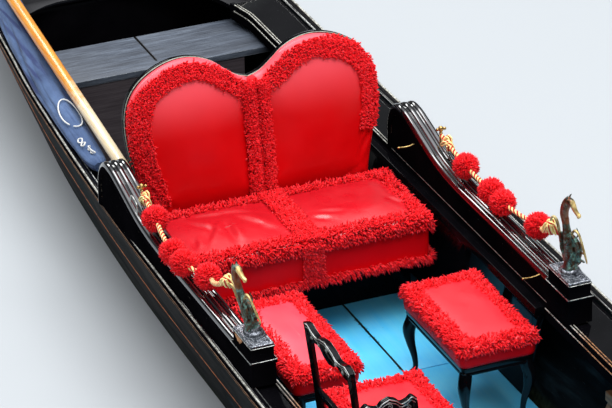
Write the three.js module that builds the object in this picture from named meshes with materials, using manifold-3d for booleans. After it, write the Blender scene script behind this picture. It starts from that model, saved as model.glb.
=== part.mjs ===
// A rowed gondola with its passengers' settee, four small chairs and the oar laid along one side.
// Millimetres. X runs forward to the bow, Y to port, Z up from the waterline amidships.
import * as THREE from "three";
import { mergeVertices } from "three/addons/utils/BufferGeometryUtils.js";
import Module from "manifold-3d";

const wasm = await Module();
wasm.setup();

// Hull. GAP is the seam left between two pieces that touch.
const GAP = 0.3;
const PLANK = 24;
const BOTTOM_PLANK = 28;
const DECK = 18;
const DECK_DROP = 10;
const POST_HALF = 20;
const SHEER_BULGE = 16;

// Each column: X, sheer half-breadth to port, to starboard, bottom half-breadth to port,
// to starboard, height of the sheer, height of the bottom.
const LINES = [
  [-5180, 46, 46, 46, 46, 1120, 850],
  [-5080, 92, 74, 46, 46, 1055, 640],
  [-4800, 205, 135, 46, 46, 905, 390],
  [-4400, 370, 215, 46, 46, 745, 205],
  [-3900, 545, 315, 118, 82, 620, 72],
  [-3500, 665, 385, 215, 140, 555, -8],
  [-3000, 748, 427, 335, 205, 498, -92],
  [-2700, 772, 446, 390, 238, 476, -126],
  [-2300, 786, 483, 440, 272, 460, -158],
  [-1900, 795, 510, 472, 298, 452, -180],
  [-1400, 802, 540, 500, 322, 450, -198],
  [-900, 805, 562, 518, 336, 450, -205],
  [-400, 808, 574, 528, 344, 450, -205],
  [100, 814, 582, 532, 347, 450, -205],
  [600, 814, 588, 528, 346, 450, -205],
  [1000, 806, 584, 518, 341, 456, -199],
  [1400, 788, 568, 492, 328, 464, -187],
  [1950, 744, 532, 440, 298, 482, -162],
  [2500, 676, 480, 362, 252, 512, -124],
  [3100, 572, 410, 262, 192, 566, -66],
  [3600, 464, 338, 172, 134, 626, 0],
  [4100, 334, 250, 92, 78, 704, 92],
  [4500, 214, 168, 46, 46, 782, 208],
  [4800, 122, 104, 46, 46, 862, 352],
  [4980, 72, 66, 46, 46, 930, 520],
  [5080, 46, 46, 46, 46, 985, 720],
];
const COLUMN = { x: 0, portTop: 1, starboardTop: 2, portFoot: 3, starboardFoot: 4, sheer: 5, bottom: 6 };
const PORT = 1;
const STARBOARD = -1;
// Planks and bottom boards are scarfed at two stations, so each comes in three lengths.
const LENGTHS = { aft: [-Infinity, -1900], mid: [-1900, 1950], fore: [1950, Infinity] };

// Openings in the decks: inboard edge of each side deck and of the stern well.
const EDGE_PORT = 615;
const EDGE_STARBOARD = 470;
const AFT_WALL_X = [-3010, -2992];
const FORE_DECK_AT = 1928;
const AFT_DECK_AT = -2700;
const FLOOR_TOP = 8;
const FLOOR_THICK = 18;
const FLOOR_AFT = -2380;
const FLOOR_SEAM_Y = 262;
const FLOOR_SEAM_X = -305;
const LINING_AFT = -1600;
const LINING_FORE = 90;
const LINING_SWEEP = 60;

// Settee.
const SETTEE_Y = 50;
const BACK_Y = 37;
const SEAT_HALF = 480;
const SEAT_FRONT = -655;
const SEAT_BACK = -1092;
const SEAT_TOP = 438;
const SEAT_FOOT = 256;
const PLINTH_FRONT = -880;
const BACK_TILT = 9;
const BACK_PAD = 74;
const BACK_SHELL = 22;
// Half outline of the double-lobed back: distance from the middle, height.
const BACK_HALF = [
  [0, 884],
  [48, 900],
  [100, 936],
  [145, 972],
  [200, 996],
  [262, 1006],
  [325, 998],
  [390, 973],
  [445, 936],
  [485, 885],
  [505, 820],
  [508, 740],
  [498, 650],
  [478, 560],
  [452, 440],
  [438, 246],
];

// Arms: each column is X and height of the rail's top line.
const ARM_TOP = [
  [-1262, 470],
  [-1256, 560],
  [-1228, 622],
  [-1178, 656],
  [-1115, 658],
  [-1040, 642],
  [-940, 614],
  [-830, 584],
  [-720, 567],
  [-600, 560],
];
const ARM_WIDE = 88;
const ARM_RAIL = 46;
// Across the rail: distance from its middle, height of its three beads against the top line.
const ARM_BEADS = [
  [-44, -16],
  [-40, -6],
  [-30, -1],
  [-20, -5],
  [-15, -9],
  [-9, -3],
  [0, 0],
  [9, -3],
  [15, -9],
  [20, -5],
  [30, -1],
  [40, -6],
  [44, -16],
];
const ARM_PANEL = 26;
const PEDESTAL_LONG = 175;
const PEDESTAL_TOP = 604;
// The sea horse to starboard is the smaller and has been knocked out of true: degrees aft and
// outboard, its turn to port, and its height against the other.
const ARM_SIDES = {
  port: { side: PORT, middle: 656, block: 168, aft: 0, outboard: 0, yaw: 28, tall: 1 },
  starboard: { side: STARBOARD, middle: 531, block: 122, aft: 11, outboard: 8, yaw: 16, tall: 0.9 },
};
const POMPOM = 56;
const STUD = 6;
const CORD = 18;

const group = new THREE.Group();
group.name = "gondola_boat";

const finish = (color, roughness, metalness) =>
  new THREE.MeshStandardMaterial({ color, roughness, metalness });
const LACQUER = finish(0x0b0b0d, 0.12, 0);
const WORN_BLACK = finish(0x2b2d31, 0.6, 0);
const TIMBER = finish(0x6b4a2c, 0.7, 0);
const BLUE_PAINT = finish(0x58a9cf, 0.45, 0);
const RED_LEATHER = finish(0xd0141c, 0.35, 0);
const RED_PILE = finish(0xd8242a, 0.9, 0);
const IRON = finish(0xb9bcc0, 0.3, 1);
const BRONZE = finish(0x4d6a5c, 0.55, 0.6);
const VARNISH = finish(0xc98a3c, 0.3, 0);
const WALNUT = finish(0x5a3620, 0.45, 0);
const CANVAS = finish(0x46536f, 0.9, 0);
const GOLD_CORD = finish(0xd9b04a, 0.6, 0);

function add(name, geometry, material) {
  const mesh = new THREE.Mesh(geometry, material);
  mesh.name = name;
  group.add(mesh);
  return mesh;
}

// Solids and booleans.
function solidOf(geometry) {
  const bare = new THREE.BufferGeometry();
  const flat = geometry.index ? geometry.toNonIndexed() : geometry;
  bare.setAttribute("position", flat.getAttribute("position"));
  const merged = mergeVertices(bare, 1e-3);
  const made = new wasm.Manifold(
    new wasm.Mesh({
      numProp: 3,
      vertProperties: merged.attributes.position.array,
      triVerts: new Uint32Array(merged.index.array),
    }),
  );
  return made;
}

function geometryOf(solid) {
  const mesh = solid.getMesh();
  const geometry = new THREE.BufferGeometry();
  const count = mesh.numVert;
  const position = new Float32Array(count * 3);
  for (let i = 0; i < count; i++) {
    for (let k = 0; k < 3; k++) position[i * 3 + k] = mesh.vertProperties[i * mesh.numProp + k];
  }
  geometry.setAttribute("position", new THREE.BufferAttribute(position, 3));
  geometry.setIndex(new THREE.BufferAttribute(new Uint32Array(mesh.triVerts), 1));
  geometry.computeVertexNormals();
  return geometry;
}

const join = (...parts) => geometryOf(parts.map(solidOf).reduce((a, b) => a.add(b)));
const cut = (from, ...tools) => {
  return geometryOf(tools.map(solidOf).reduce((a, b) => a.subtract(b), solidOf(from)));
};

function signedVolume(position, index) {
  const a = new THREE.Vector3();
  const b = new THREE.Vector3();
  const c = new THREE.Vector3();
  let volume = 0;
  for (let i = 0; i < index.length; i += 3) {
    a.fromArray(position, index[i] * 3);
    b.fromArray(position, index[i + 1] * 3);
    c.fromArray(position, index[i + 2] * 3);
    volume += a.dot(b.cross(c));
  }
  return volume;
}

// Seen along the axis that the ring faces most, its points in two dimensions.
function flattened(ring) {
  const normal = [0, 0, 0];
  ring.forEach((a, i) => {
    const b = ring[(i + 1) % ring.length];
    normal[0] += (a[1] - b[1]) * (a[2] + b[2]);
    normal[1] += (a[2] - b[2]) * (a[0] + b[0]);
    normal[2] += (a[0] - b[0]) * (a[1] + b[1]);
  });
  const sizes = normal.map(Math.abs);
  const drop = sizes.indexOf(Math.max(...sizes));
  return ring.map((point) => new THREE.Vector2(...point.filter((_, k) => k !== drop)));
}

// Rings of [x, y, z] joined into one closed body, with flat ends.
function loft(rings) {
  const size = rings[0].length;
  const position = rings.flat(2);
  const index = [];
  for (let r = 0; r + 1 < rings.length; r++) {
    for (let i = 0; i < size; i++) {
      const j = (i + 1) % size;
      const a = r * size + i;
      const b = r * size + j;
      index.push(a, b, b + size, a, b + size, a + size);
    }
  }
  const cap = (ring, offset, withRing) => {
    const outline = flattened(ring);
    const sense = Math.sign(THREE.ShapeUtils.area(outline));
    for (const [a, b, c] of THREE.ShapeUtils.triangulateShape(outline, [])) {
      const along = Math.sign(THREE.ShapeUtils.area([outline[a], outline[b], outline[c]])) === sense;
      const turned = along === withRing ? [a, b, c] : [a, c, b];
      index.push(...turned.map((i) => i + offset));
    }
  };
  cap(rings[0], 0, false);
  cap(rings[rings.length - 1], (rings.length - 1) * size, true);
  if (signedVolume(position, index) < 0) {
    for (let i = 0; i < index.length; i += 3) [index[i + 1], index[i + 2]] = [index[i + 2], index[i + 1]];
  }
  const geometry = new THREE.BufferGeometry();
  geometry.setAttribute("position", new THREE.Float32BufferAttribute(position, 3));
  geometry.setIndex(index);
  geometry.computeVertexNormals();
  return geometry;
}

function box(x0, x1, y0, y1, z0, z1) {
  const geometry = new THREE.BoxGeometry(x1 - x0, y1 - y0, z1 - z0);
  return geometry.translate((x0 + x1) / 2, (y0 + y1) / 2, (z0 + z1) / 2);
}

// A flat outline in X and Z, as thick as y0 to y1.
function plateXZ(outline, y0, y1) {
  return loft([y0, y1].map((y) => outline.map(([x, z]) => [x, y, z])));
}

// A flat outline in Y and Z, as thick as x0 to x1.
function plateYZ(outline, x0, x1) {
  return loft([x0, x1].map((x) => outline.map(([y, z]) => [x, y, z])));
}

function smoothLine(points, steps) {
  const curve = new THREE.CatmullRomCurve3(
    points.map(([a, b]) => new THREE.Vector3(a, b, 0)),
    false,
    "centripetal",
  );
  return curve.getPoints(steps).map((p) => [p.x, p.y]);
}

// A round or oval rod through points, given as [x, y, z, half width, half depth].
function rod(points, sides, axis = "z") {
  const rings = points.map(([x, y, z, a, b = a]) =>
    Array.from({ length: sides }, (_, i) => {
      const turn = ((i + 0.5) / sides) * Math.PI * 2;
      const u = a * Math.cos(turn);
      const v = b * Math.sin(turn);
      if (axis === "z") return [x + u, y + v, z];
      if (axis === "x") return [x, y + u, z + v];
      return [x + u, y, z + v];
    }),
  );
  return loft(rings);
}

// The hull's lines, straight between two stations.
function line(x, column) {
  const last = LINES.length - 1;
  if (x <= LINES[0][0]) return LINES[0][column];
  if (x >= LINES[last][0]) return LINES[last][column];
  let i = 0;
  while (LINES[i + 1][0] < x) i++;
  const t = (x - LINES[i][0]) / (LINES[i + 1][0] - LINES[i][0]);
  return LINES[i][column] + t * (LINES[i + 1][column] - LINES[i][column]);
}

function stationsBetween(x0, x1, extra = []) {
  const inside = [...LINES.map((row) => row[0]), ...extra].filter((x) => x > x0 + 1 && x < x1 - 1);
  return [x0, ...new Set(inside.sort((a, b) => a - b)), x1];
}

// Outer face of one side at a station, from the bottom's edge to the sheer.
function sideProfile(side, x) {
  const foot = line(x, side === PORT ? COLUMN.portFoot : COLUMN.starboardFoot);
  const top = line(x, side === PORT ? COLUMN.portTop : COLUMN.starboardTop);
  const low = line(x, COLUMN.bottom);
  const high = line(x, COLUMN.sheer);
  const bulge = SHEER_BULGE * Math.min(1, (top - foot) / 220);
  return [0, 0.34, 0.68, 1].map((t) => [
    foot + (top - foot) * t + bulge * 4 * t * (1 - t),
    low + (high - low) * t,
  ]);
}

function outerHalf(side, x, z) {
  const profile = sideProfile(side, x);
  let i = 0;
  while (i < profile.length - 2 && profile[i + 1][1] < z) i++;
  const [[y0, z0], [y1, z1]] = [profile[i], profile[i + 1]];
  return y0 + ((z - z0) / (z1 - z0)) * (y1 - y0);
}

const innerHalf = (side, x, z) => outerHalf(side, x, z) - PLANK;

function hullBottom([x0, x1]) {
  const rings = stationsBetween(Math.max(x0, -4400) + GAP / 2, Math.min(x1, 4500) - GAP / 2).map((x) => {
    const low = line(x, COLUMN.bottom);
    const port = line(x, COLUMN.portFoot);
    const starboard = line(x, COLUMN.starboardFoot);
    return [
      [x, -starboard, low - BOTTOM_PLANK],
      [x, port, low - BOTTOM_PLANK],
      [x, port, low],
      [x, -starboard, low],
    ];
  });
  return loft(rings);
}

// One side's planking; grow makes it that much thicker all round, to cut its neighbours with.
function hullSide(side, grow = 0, [x0, x1] = [-Infinity, Infinity]) {
  const first = Math.max(LINES[0][0], x0 + GAP / 2);
  const last = Math.min(LINES[LINES.length - 1][0], x1 - GAP / 2);
  const rings = stationsBetween(first, last).map((x) => {
    const profile = sideProfile(side, x).map(([y, z], i) => [y, i ? z : z + GAP]);
    profile[0][1] -= grow;
    profile[3][1] += grow;
    const outer = profile.map(([y, z]) => [x, side * (y + grow), z]);
    const inner = profile.map(([y, z]) => [x, side * (y - PLANK - grow), z]);
    return [...outer, ...inner.reverse()];
  });
  return loft(rings);
}

const fitted = (geometry, ...sides) => cut(geometry, ...sides.map((side) => hullSide(side, GAP)));

function rubbingStrake(side) {
  const rings = stationsBetween(-5150, 5050).map((x) => {
    const high = line(x, COLUMN.sheer);
    const top = outerHalf(side, x, high) - 4;
    const low = outerHalf(side, x, high - 40) - 4;
    return [
      [x, side * top, high + 4],
      [x, side * (top + 18), high + 4],
      [x, side * (low + 18), high - 40],
      [x, side * low, high - 40],
    ];
  });
  return fitted(loft(rings), side);
}

// Both end posts are slabs between the planks' ends.
function stemPost(half = POST_HALF) {
  const stations = [4500 + GAP, 4800, 4980, 5080];
  const under = stations.map((x) => [x, line(x, COLUMN.bottom) - BOTTOM_PLANK]);
  const top = line(5080, COLUMN.sheer) + 30;
  const inner = [[5010, top], [5010, 800], [4930, 610], [4780, 440], [4500 + GAP, 290]];
  return plateXZ([...under, [5122, 800], [5128, top], ...inner], -half, half);
}

function sternPost() {
  const stations = [-4400 - GAP, -4800, -5080, -5180];
  const under = stations.map((x) => [x, line(x, COLUMN.bottom) - BOTTOM_PLANK]);
  const top = line(-5180, COLUMN.sheer) + 40;
  const inner = [[-5118, top], [-5118, 930], [-5020, 730], [-4780, 480], [-4400 - GAP, 290]];
  return plateXZ([...under, [-5224, 930], [-5238, top], ...inner], -POST_HALF, POST_HALF);
}

// A crowned deck between the planks, over the stations x0 to x1.
function deckPlate(x0, x1, crownAt) {
  const across = [-1, -0.66, -0.33, 0, 0.33, 0.66, 1];
  const rings = stationsBetween(x0, x1).map((x) => {
    const edge = line(x, COLUMN.sheer) - DECK_DROP;
    const halfPort = innerHalf(PORT, x, edge) + 4;
    const halfStarboard = innerHalf(STARBOARD, x, edge) + 4;
    const crown = crownAt(x);
    const top = across.map((t) => [
      x,
      t < 0 ? t * halfStarboard : t * halfPort,
      edge + crown * (1 - t * t),
    ]);
    const under = top.map(([, y, z]) => [x, y, z - DECK]);
    return [...top, ...under.reverse()];
  });
  return fitted(loft(rings), PORT, STARBOARD);
}

const ramp = (table) => (x) => {
  let i = 0;
  while (i < table.length - 2 && table[i + 1][0] < x) i++;
  const [[x0, y0], [x1, y1]] = [table[i], table[i + 1]];
  const t = Math.min(1, Math.max(0, (x - x0) / (x1 - x0)));
  return y0 + t * (y1 - y0);
};

function foreDeck() {
  return deckPlate(FORE_DECK_AT, 4985, ramp([[1950, 62], [3100, 80], [4300, 52], [4985, 14]]));
}

// The stern well's rounded aft end, and the opening forward of it.
function wellOutline() {
  const aft = smoothLine(
    [
      [-2400, 577],
      [-2560, 571],
      [-2690, 540],
      [-2800, 482],
      [-2895, 380],
      [-2950, 240],
      [-2968, 0],
      [-2950, -200],
      [-2870, -320],
      [-2560, -392],
    ],
    30,
  );
  return [...aft, [-2300, -440], [-2300, 577]];
}

function aftDeck() {
  const plate = deckPlate(-5090, AFT_DECK_AT, ramp([[-5090, 14], [-4400, 44], [-3500, 40], [-2700, 0]]));
  const outline = wellOutline();
  const tool = loft([300, 700].map((z) => outline.map(([x, y]) => [x, y, z])));
  return cut(plate, tool);
}

// A side deck with its raised inner lip, from the stern well to the fore deck.
const DECK_EDGE_AT = {
  [PORT]: [
    [-2700, 536],
    [-2560, 570],
    [-2280, 578],
    [-1900, 596],
    [-1600, 612],
    [-1400, EDGE_PORT],
    [1400, EDGE_PORT],
    [1950, 596],
  ],
  [STARBOARD]: [
    [-2700, 352],
    [-2300, 415],
    [-1900, 445],
    [-1400, EDGE_STARBOARD],
    [1400, EDGE_STARBOARD],
    [1950, 440],
  ],
};
const deckEdge = (side, x) => ramp(DECK_EDGE_AT[side])(x);
const edgeStations = (side, x0, x1) => stationsBetween(x0, x1, DECK_EDGE_AT[side].map((row) => row[0]));

function sideDeck(side) {
  const rings = edgeStations(side, AFT_DECK_AT + GAP, FORE_DECK_AT - GAP).map((x) => {
    const top = line(x, COLUMN.sheer) - DECK_DROP;
    const outer = innerHalf(side, x, top) + 4;
    const inner = deckEdge(side, x);
    const low = top - 62;
    return [
      [x, side * outer, top],
      [x, side * (inner + 20), top],
      [x, side * (inner + 20), top + 8],
      [x, side * inner, top + 8],
      [x, side * inner, low],
      [x, side * (inner + 16), low],
      [x, side * (inner + 16), top - DECK],
      [x, side * outer, top - DECK],
    ];
  });
  return fitted(loft(rings), side);
}

// The lacquered panel from the floor up to the side deck's lip, with a moulded top. Its fore end
// sweeps forward as it rises.
function lining(side) {
  const sweep = ramp([
    [140, -LINING_SWEEP],
    [200, -0.8 * LINING_SWEEP],
    [380, 0.8 * LINING_SWEEP],
    [440, LINING_SWEEP],
  ]);
  const rings = edgeStations(side, LINING_AFT, LINING_FORE).map((x) => {
    const edge = deckEdge(side, x);
    const foot = Math.min(innerHalf(side, x, 12) - 18, edge - 12);
    const high = line(x, COLUMN.sheer) - 20;
    const knee = Math.min(innerHalf(side, x, 180) - 20, edge - 12);
    return [
      [x, side * (knee + 14), 180],
      [x, side * foot, FLOOR_TOP + GAP],
      [x, side * (foot - 14), FLOOR_TOP + GAP],
      [x, side * knee, 180],
      [x, side * (edge - 24), high - 40],
      [x, side * (edge - 40), high - 34],
      [x, side * (edge - 40), high],
      [x, side * (edge - GAP), high],
      [x, side * (edge - GAP), high - 46],
    ];
  });
  const end = rings[rings.length - 1];
  for (const point of end) point[0] += sweep(point[2]);
  return loft(rings);
}

// Floor timbers on the bottom, tied by a keelson, with side ribs where no panel hides them.
const TIMBERS = [-2250, -1850, -1450, -1050, -650, -250, 150, 550, 950, 1350, 1750];
const RIB_FROM = 500;
const RIB_DEEP = 37;
function framing() {
  const under = FLOOR_TOP - FLOOR_THICK - GAP;
  const parts = TIMBERS.map((x) => {
    const x0 = x - 12;
    const x1 = x + 12;
    const low = Math.max(line(x0, COLUMN.bottom), line(x1, COLUMN.bottom)) + GAP;
    const half = (side, z) => Math.max(innerHalf(side, x0, z), innerHalf(side, x1, z)) + 3;
    const timber = plateYZ(
      [
        [-half(STARBOARD, low), low],
        [half(PORT, low), low],
        [half(PORT, under), under],
        [-half(STARBOARD, under), under],
      ],
      x0,
      x1,
    );
    if (x < RIB_FROM) return timber;
    const rib = (side) => {
      const heights = [under - 20, 90, 240, 376];
      const outer = heights.map((z) => [side * half(side, z), z]);
      const inner = heights.map((z) => [side * (half(side, z) - RIB_DEEP), z]).reverse();
      return plateYZ([...outer, ...inner], x0, x1);
    };
    return join(timber, rib(PORT), rib(STARBOARD));
  });
  const keelson = loft(
    stationsBetween(-2280, 1780).map((x) => {
      const low = line(x, COLUMN.bottom) + GAP;
      return [[x, 55, low], [x, 125, low], [x, 125, low + 34], [x, 55, low + 34]];
    }),
  );
  const stringer = (side) =>
    loft(
      stationsBetween(530, 1770).map((x) => {
        const y = side * (innerHalf(side, x, 250) - 28);
        return [[x, y, 232], [x, y, 268], [x, y - side * 22, 268], [x, y - side * 22, 232]];
      }),
    );
  return fitted(join(...parts, keelson, stringer(PORT), stringer(STARBOARD)), PORT, STARBOARD);
}

// A floor board with its outer edge along the hull, notched where a rib passes.
function floorBoard(side, x0, x1, seam) {
  const rings = stationsBetween(x0, x1).map((x) => {
    const outer = side * (innerHalf(side, x, FLOOR_TOP - FLOOR_THICK) - 6);
    return [
      [x, seam, FLOOR_TOP - FLOOR_THICK],
      [x, outer, FLOOR_TOP - FLOOR_THICK],
      [x, outer, FLOOR_TOP],
      [x, seam, FLOOR_TOP],
    ];
  });
  const notches = TIMBERS.filter((x) => x > RIB_FROM && x < x1).map((x) => {
    const edge = innerHalf(side, x, FLOOR_TOP) - RIB_DEEP - 8;
    const [low, high] = [side * edge, side * 900].sort((a, b) => a - b);
    return box(x - 14, x + 14, low, high, -40, 40);
  });
  return notches.length ? cut(loft(rings), ...notches) : loft(rings);
}

// A wall across the hull between two heights.
function crossWall(x0, x1, low, high) {
  const heights = [low, (low + high) / 2, high];
  const half = (side, z) => Math.max(innerHalf(side, x0, z), innerHalf(side, x1, z)) + 3;
  const starboard = heights.map((z) => [-half(STARBOARD, z), z]);
  const port = heights.map((z) => [half(PORT, z), z]).reverse();
  return fitted(plateYZ([...starboard, ...port], x0, x1), PORT, STARBOARD);
}

// Locker door in the wall under the fore deck: it lies on the wall's aft face.
const DOOR = { x0: 1906, x1: 1924, y0: -130, y1: 210, z0: 50, z1: 350, pin: 5, bore: 5.6, barrel: 11 };
const WALL_X = [1930, 1948];
const DOOR_AXIS = { x: 1912, y: 226 };
const KNUCKLES = [105, 295];

function foreBulkhead() {
  const wall = crossWall(WALL_X[0], WALL_X[1], FLOOR_TOP + GAP, 452);
  const hole = box(1900, 1980, -100, 180, 80, 320);
  const parts = KNUCKLES.flatMap((z) => [
    box(DOOR_AXIS.x - 7, WALL_X[0] + 2, DOOR_AXIS.y - 7, DOOR_AXIS.y + 7, z - 48, z - 32),
    rod([[DOOR_AXIS.x, DOOR_AXIS.y, z - 40, DOOR.pin], [DOOR_AXIS.x, DOOR_AXIS.y, z + 26, DOOR.pin]], 12),
  ]);
  return join(cut(wall, hole), ...parts);
}

function lockerDoor() {
  const leaf = box(DOOR.x0, DOOR.x1, DOOR.y0, DOOR.y1, DOOR.z0, DOOR.z1);
  const barrels = KNUCKLES.map((z) =>
    rod([
      [DOOR_AXIS.x, DOOR_AXIS.y, z - 26, DOOR.barrel],
      [DOOR_AXIS.x, DOOR_AXIS.y, z + 30, DOOR.barrel],
    ], 16),
  );
  const straps = KNUCKLES.map((z) => box(DOOR.x0, DOOR.x0 + 6, DOOR.y1 - 60, DOOR_AXIS.y, z - 14, z + 14));
  const bores = KNUCKLES.map((z) =>
    rod([[DOOR_AXIS.x, DOOR_AXIS.y, z - 40, DOOR.bore], [DOOR_AXIS.x, DOOR_AXIS.y, z + 28, DOOR.bore]], 16),
  );
  const knob = rod([[1890, -95, 200, 11], [1898, -95, 200, 9], [1908, -95, 200, 6]], 10, "x");
  return cut(join(leaf, ...barrels, ...straps, knob), ...bores);
}

// The fore thwart lies on the stringers.
function foreThwart() {
  return crossWall(1370, 1530, 268 + GAP, 290);
}

const STEP = { aft: -2745, fore: -2425, top: 380, thick: 26 };
function steppingPlatform() {
  const half = (side) => innerHalf(side, STEP.aft, STEP.top - STEP.thick) - 6;
  const boards = box(STEP.aft, STEP.fore, -half(STARBOARD), half(PORT), STEP.top - STEP.thick, STEP.top);
  const panelHalf = (side) => innerHalf(side, STEP.fore - 24, 10) - 10;
  const panel = box(
    STEP.fore - 24,
    STEP.fore - 4,
    -panelHalf(STARBOARD),
    panelHalf(PORT),
    FLOOR_TOP - FLOOR_THICK,
    STEP.top - STEP.thick + 4,
  );
  const seam = box(STEP.aft - 10, STEP.fore - 60, 124, 130, STEP.top - 14, STEP.top + 10);
  return fitted(cut(join(boards, panel), seam), PORT, STARBOARD);
}

// Irons at the ends: flat plates in the middle plane.
const TEETH = { count: 6, first: 1010, pitch: 54, high: 36, root: 5165, tip: 5292 };
function bowIron() {
  const back = 5128 + GAP;
  const comb = [];
  for (let i = 0; i < TEETH.count; i++) {
    const z = TEETH.first + i * TEETH.pitch;
    comb.push([TEETH.root, z], [TEETH.tip, z + 2]);
    comb.push([TEETH.tip, z + TEETH.high], [TEETH.root, z + TEETH.high + 2]);
  }
  const head = smoothLine(
    [
      [5180, 1350], [5262, 1362], [5352, 1420], [5396, 1500],
      [5372, 1585], [5290, 1640], [5180, 1652], [5092, 1622],
    ],
    14,
  );
  const nape = smoothLine(
    [[5092, 1622], [5140, 1560], [5148, 1480], [5120, 1390], [5108, 1300]],
    8,
  ).slice(1);
  const outline = [
    [back, 810],
    [5160, 830],
    [TEETH.root, 960],
    ...comb,
    ...head,
    ...nape,
    [5012, 1286],
    [5012, 1250],
    [5104, 1240],
    [5100, 1060],
    [back, 1020],
  ];
  const blade = plateXZ(outline, -7, 7);
  const strap = plateXZ(
    [
      [5082.5, 722], [4982, 492 - 0.5], [4802, 323], [4760, 292],
      [4768, 270], [4990, 455], [5110, 690], [5160, 832],
      [back, 832], [5122 + GAP, 798],
    ],
    -7,
    7,
  );
  const stem = stemPost(POST_HALF * 2);
  const shifts = [[GAP, 0], [0, -GAP], [GAP, -GAP]];
  return cut(join(blade, strap), ...shifts.map(([x, z]) => stem.clone().translate(x, 0, z)));
}

function sternIron() {
  const path = smoothLine(
    [
      [-5205, 1060], [-5256, 1150], [-5330, 1262], [-5400, 1370],
      [-5412, 1462], [-5352, 1508], [-5292, 1470], [-5306, 1418],
    ],
    26,
  );
  const left = [];
  const right = [];
  path.forEach(([x, z], i) => {
    const [px, pz] = path[Math.max(0, i - 1)];
    const [nx, nz] = path[Math.min(path.length - 1, i + 1)];
    const long = Math.hypot(nx - px, nz - pz);
    const half = 19 - 9 * (i / path.length);
    left.push([x - ((nz - pz) / long) * half, z + ((nx - px) / long) * half]);
    right.push([x + ((nz - pz) / long) * half, z - ((nx - px) / long) * half]);
  });
  const curl = plateXZ([...left, ...right.reverse()], -8, 8);
  const foot = [
    [-5238 - GAP, 1100], [-5226, 930], [-5270, 940],
    [-5290, 1160], [-5240, 1175], [-5238 - GAP, 1170],
  ];
  const shoe = plateXZ(foot, -8, 8);
  const keep = box(-5500, -5100, -30, 30, 900, 1600);
  const postRoom = box(-5240, -5000, -40, 40, 800, 1160 + GAP);
  return geometryOf(solidOf(join(curl, shoe)).intersect(solidOf(keep)).subtract(solidOf(postRoom)));
}

// The carved rowlock in its block on the starboard rail.
const FORCOLA_X = -3350;
const RAIL_Y = -(line(FORCOLA_X, COLUMN.starboardTop) - PLANK / 2);
function forcolaBlock() {
  const top = line(FORCOLA_X - 110, COLUMN.sheer);
  const body = box(FORCOLA_X - 110, FORCOLA_X + 110, RAIL_Y - 32, RAIL_Y + 26, top + 5, top + 52);
  const slot = box(FORCOLA_X - 62, FORCOLA_X + 62, RAIL_Y - 18, RAIL_Y + 12, top + 12, top + 80);
  return cut(body, slot);
}

function forcola() {
  const foot = line(FORCOLA_X - 110, COLUMN.sheer) + 12 + GAP;
  const x = FORCOLA_X;
  const outline = smoothLine(
    [
      [x - 58, foot],
      [x - 56, foot + 90],
      [x - 84, foot + 190],
      [x - 64, foot + 290],
      [x - 96, foot + 372],
      [x - 70, foot + 420],
      [x - 30, foot + 372],
      [x + 6, foot + 420],
      [x + 34, foot + 500],
      [x + 74, foot + 486],
      [x + 66, foot + 400],
      [x + 40, foot + 300],
      [x + 92, foot + 236],
      [x + 112, foot + 180],
      [x + 60, foot + 150],
      [x + 58, foot],
    ],
    40,
  );
  return plateXZ(outline, RAIL_Y - 16, RAIL_Y + 10);
}

// The oar lies along the starboard side: loom forward, blade aft.
const OAR = { fore: [-1330, -432, 522], aft: [-5210, -262, 761], loom: 24, neck: 22, blade: 78, edge: 11 };
function oar() {
  const [fx, fy, fz] = OAR.fore;
  const [ax, ay, az] = OAR.aft;
  const at = (t, wide, deep) => [fx + (ax - fx) * t, fy + (ay - fy) * t, fz + (az - fz) * t, wide, deep];
  return rod(
    [
      at(0, 17, 17),
      at(0.01, 20, 20),
      at(0.1, OAR.loom, OAR.loom),
      at(0.5, OAR.loom, OAR.loom),
      at(0.64, OAR.neck, OAR.neck),
      at(0.74, 16, 52),
      at(0.86, OAR.edge, OAR.blade),
      at(0.985, 9, OAR.blade),
      at(1, 7, 66),
    ],
    10,
    "x",
  );
}

function setteeBase() {
  const plinth = box(-1500, PLINTH_FRONT, SETTEE_Y - 372, SETTEE_Y + 494, FLOOR_TOP + GAP, 238);
  const board = box(-1500, SEAT_FRONT - 26, SETTEE_Y - 440, SETTEE_Y + 494, 236, SEAT_FOOT - GAP);
  return join(plinth, board);
}

function seatCushion(side) {
  const inner = SETTEE_Y + side * 3;
  const outer = SETTEE_Y + side * SEAT_HALF;
  const [low, high] = [inner, outer].sort((a, b) => a - b);
  return cushion(SEAT_BACK + 7, SEAT_FRONT, low, high, SEAT_FOOT, SEAT_TOP, 34);
}

// A plain cushion: a block with its top and foot edges eased.
function cushion(x0, x1, y0, y1, z0, z1, ease) {
  const ring = (inset, z) => {
    const c = ease;
    const [a, b, d, e] = [x0 + inset, x1 - inset, y0 + inset, y1 - inset];
    return [
      [a + c, d, z],
      [b - c, d, z],
      [b, d + c, z],
      [b, e - c, z],
      [b - c, e, z],
      [a + c, e, z],
      [a, e - c, z],
      [a, d + c, z],
    ];
  };
  const rings = [ring(6, z0), ring(0, z0 + 14), ring(0, z1 - ease * 0.7), ring(ease * 0.45, z1)];
  return loft(rings);
}

// The back's outline in its own plane, leaned aft about the seat's rear edge.
function backOutline(inset) {
  const inside = (y) => Math.max(0, y - (y > 20 ? inset : 0));
  return smoothLine(BACK_HALF, 30).map(([y, z]) => [inside(y), z - inset * 0.8]);
}

function leaned(geometry) {
  geometry.translate(-SEAT_BACK, 0, -SEAT_TOP);
  geometry.rotateY(THREE.MathUtils.degToRad(-BACK_TILT));
  return geometry.translate(SEAT_BACK, 0, SEAT_TOP);
}

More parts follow.
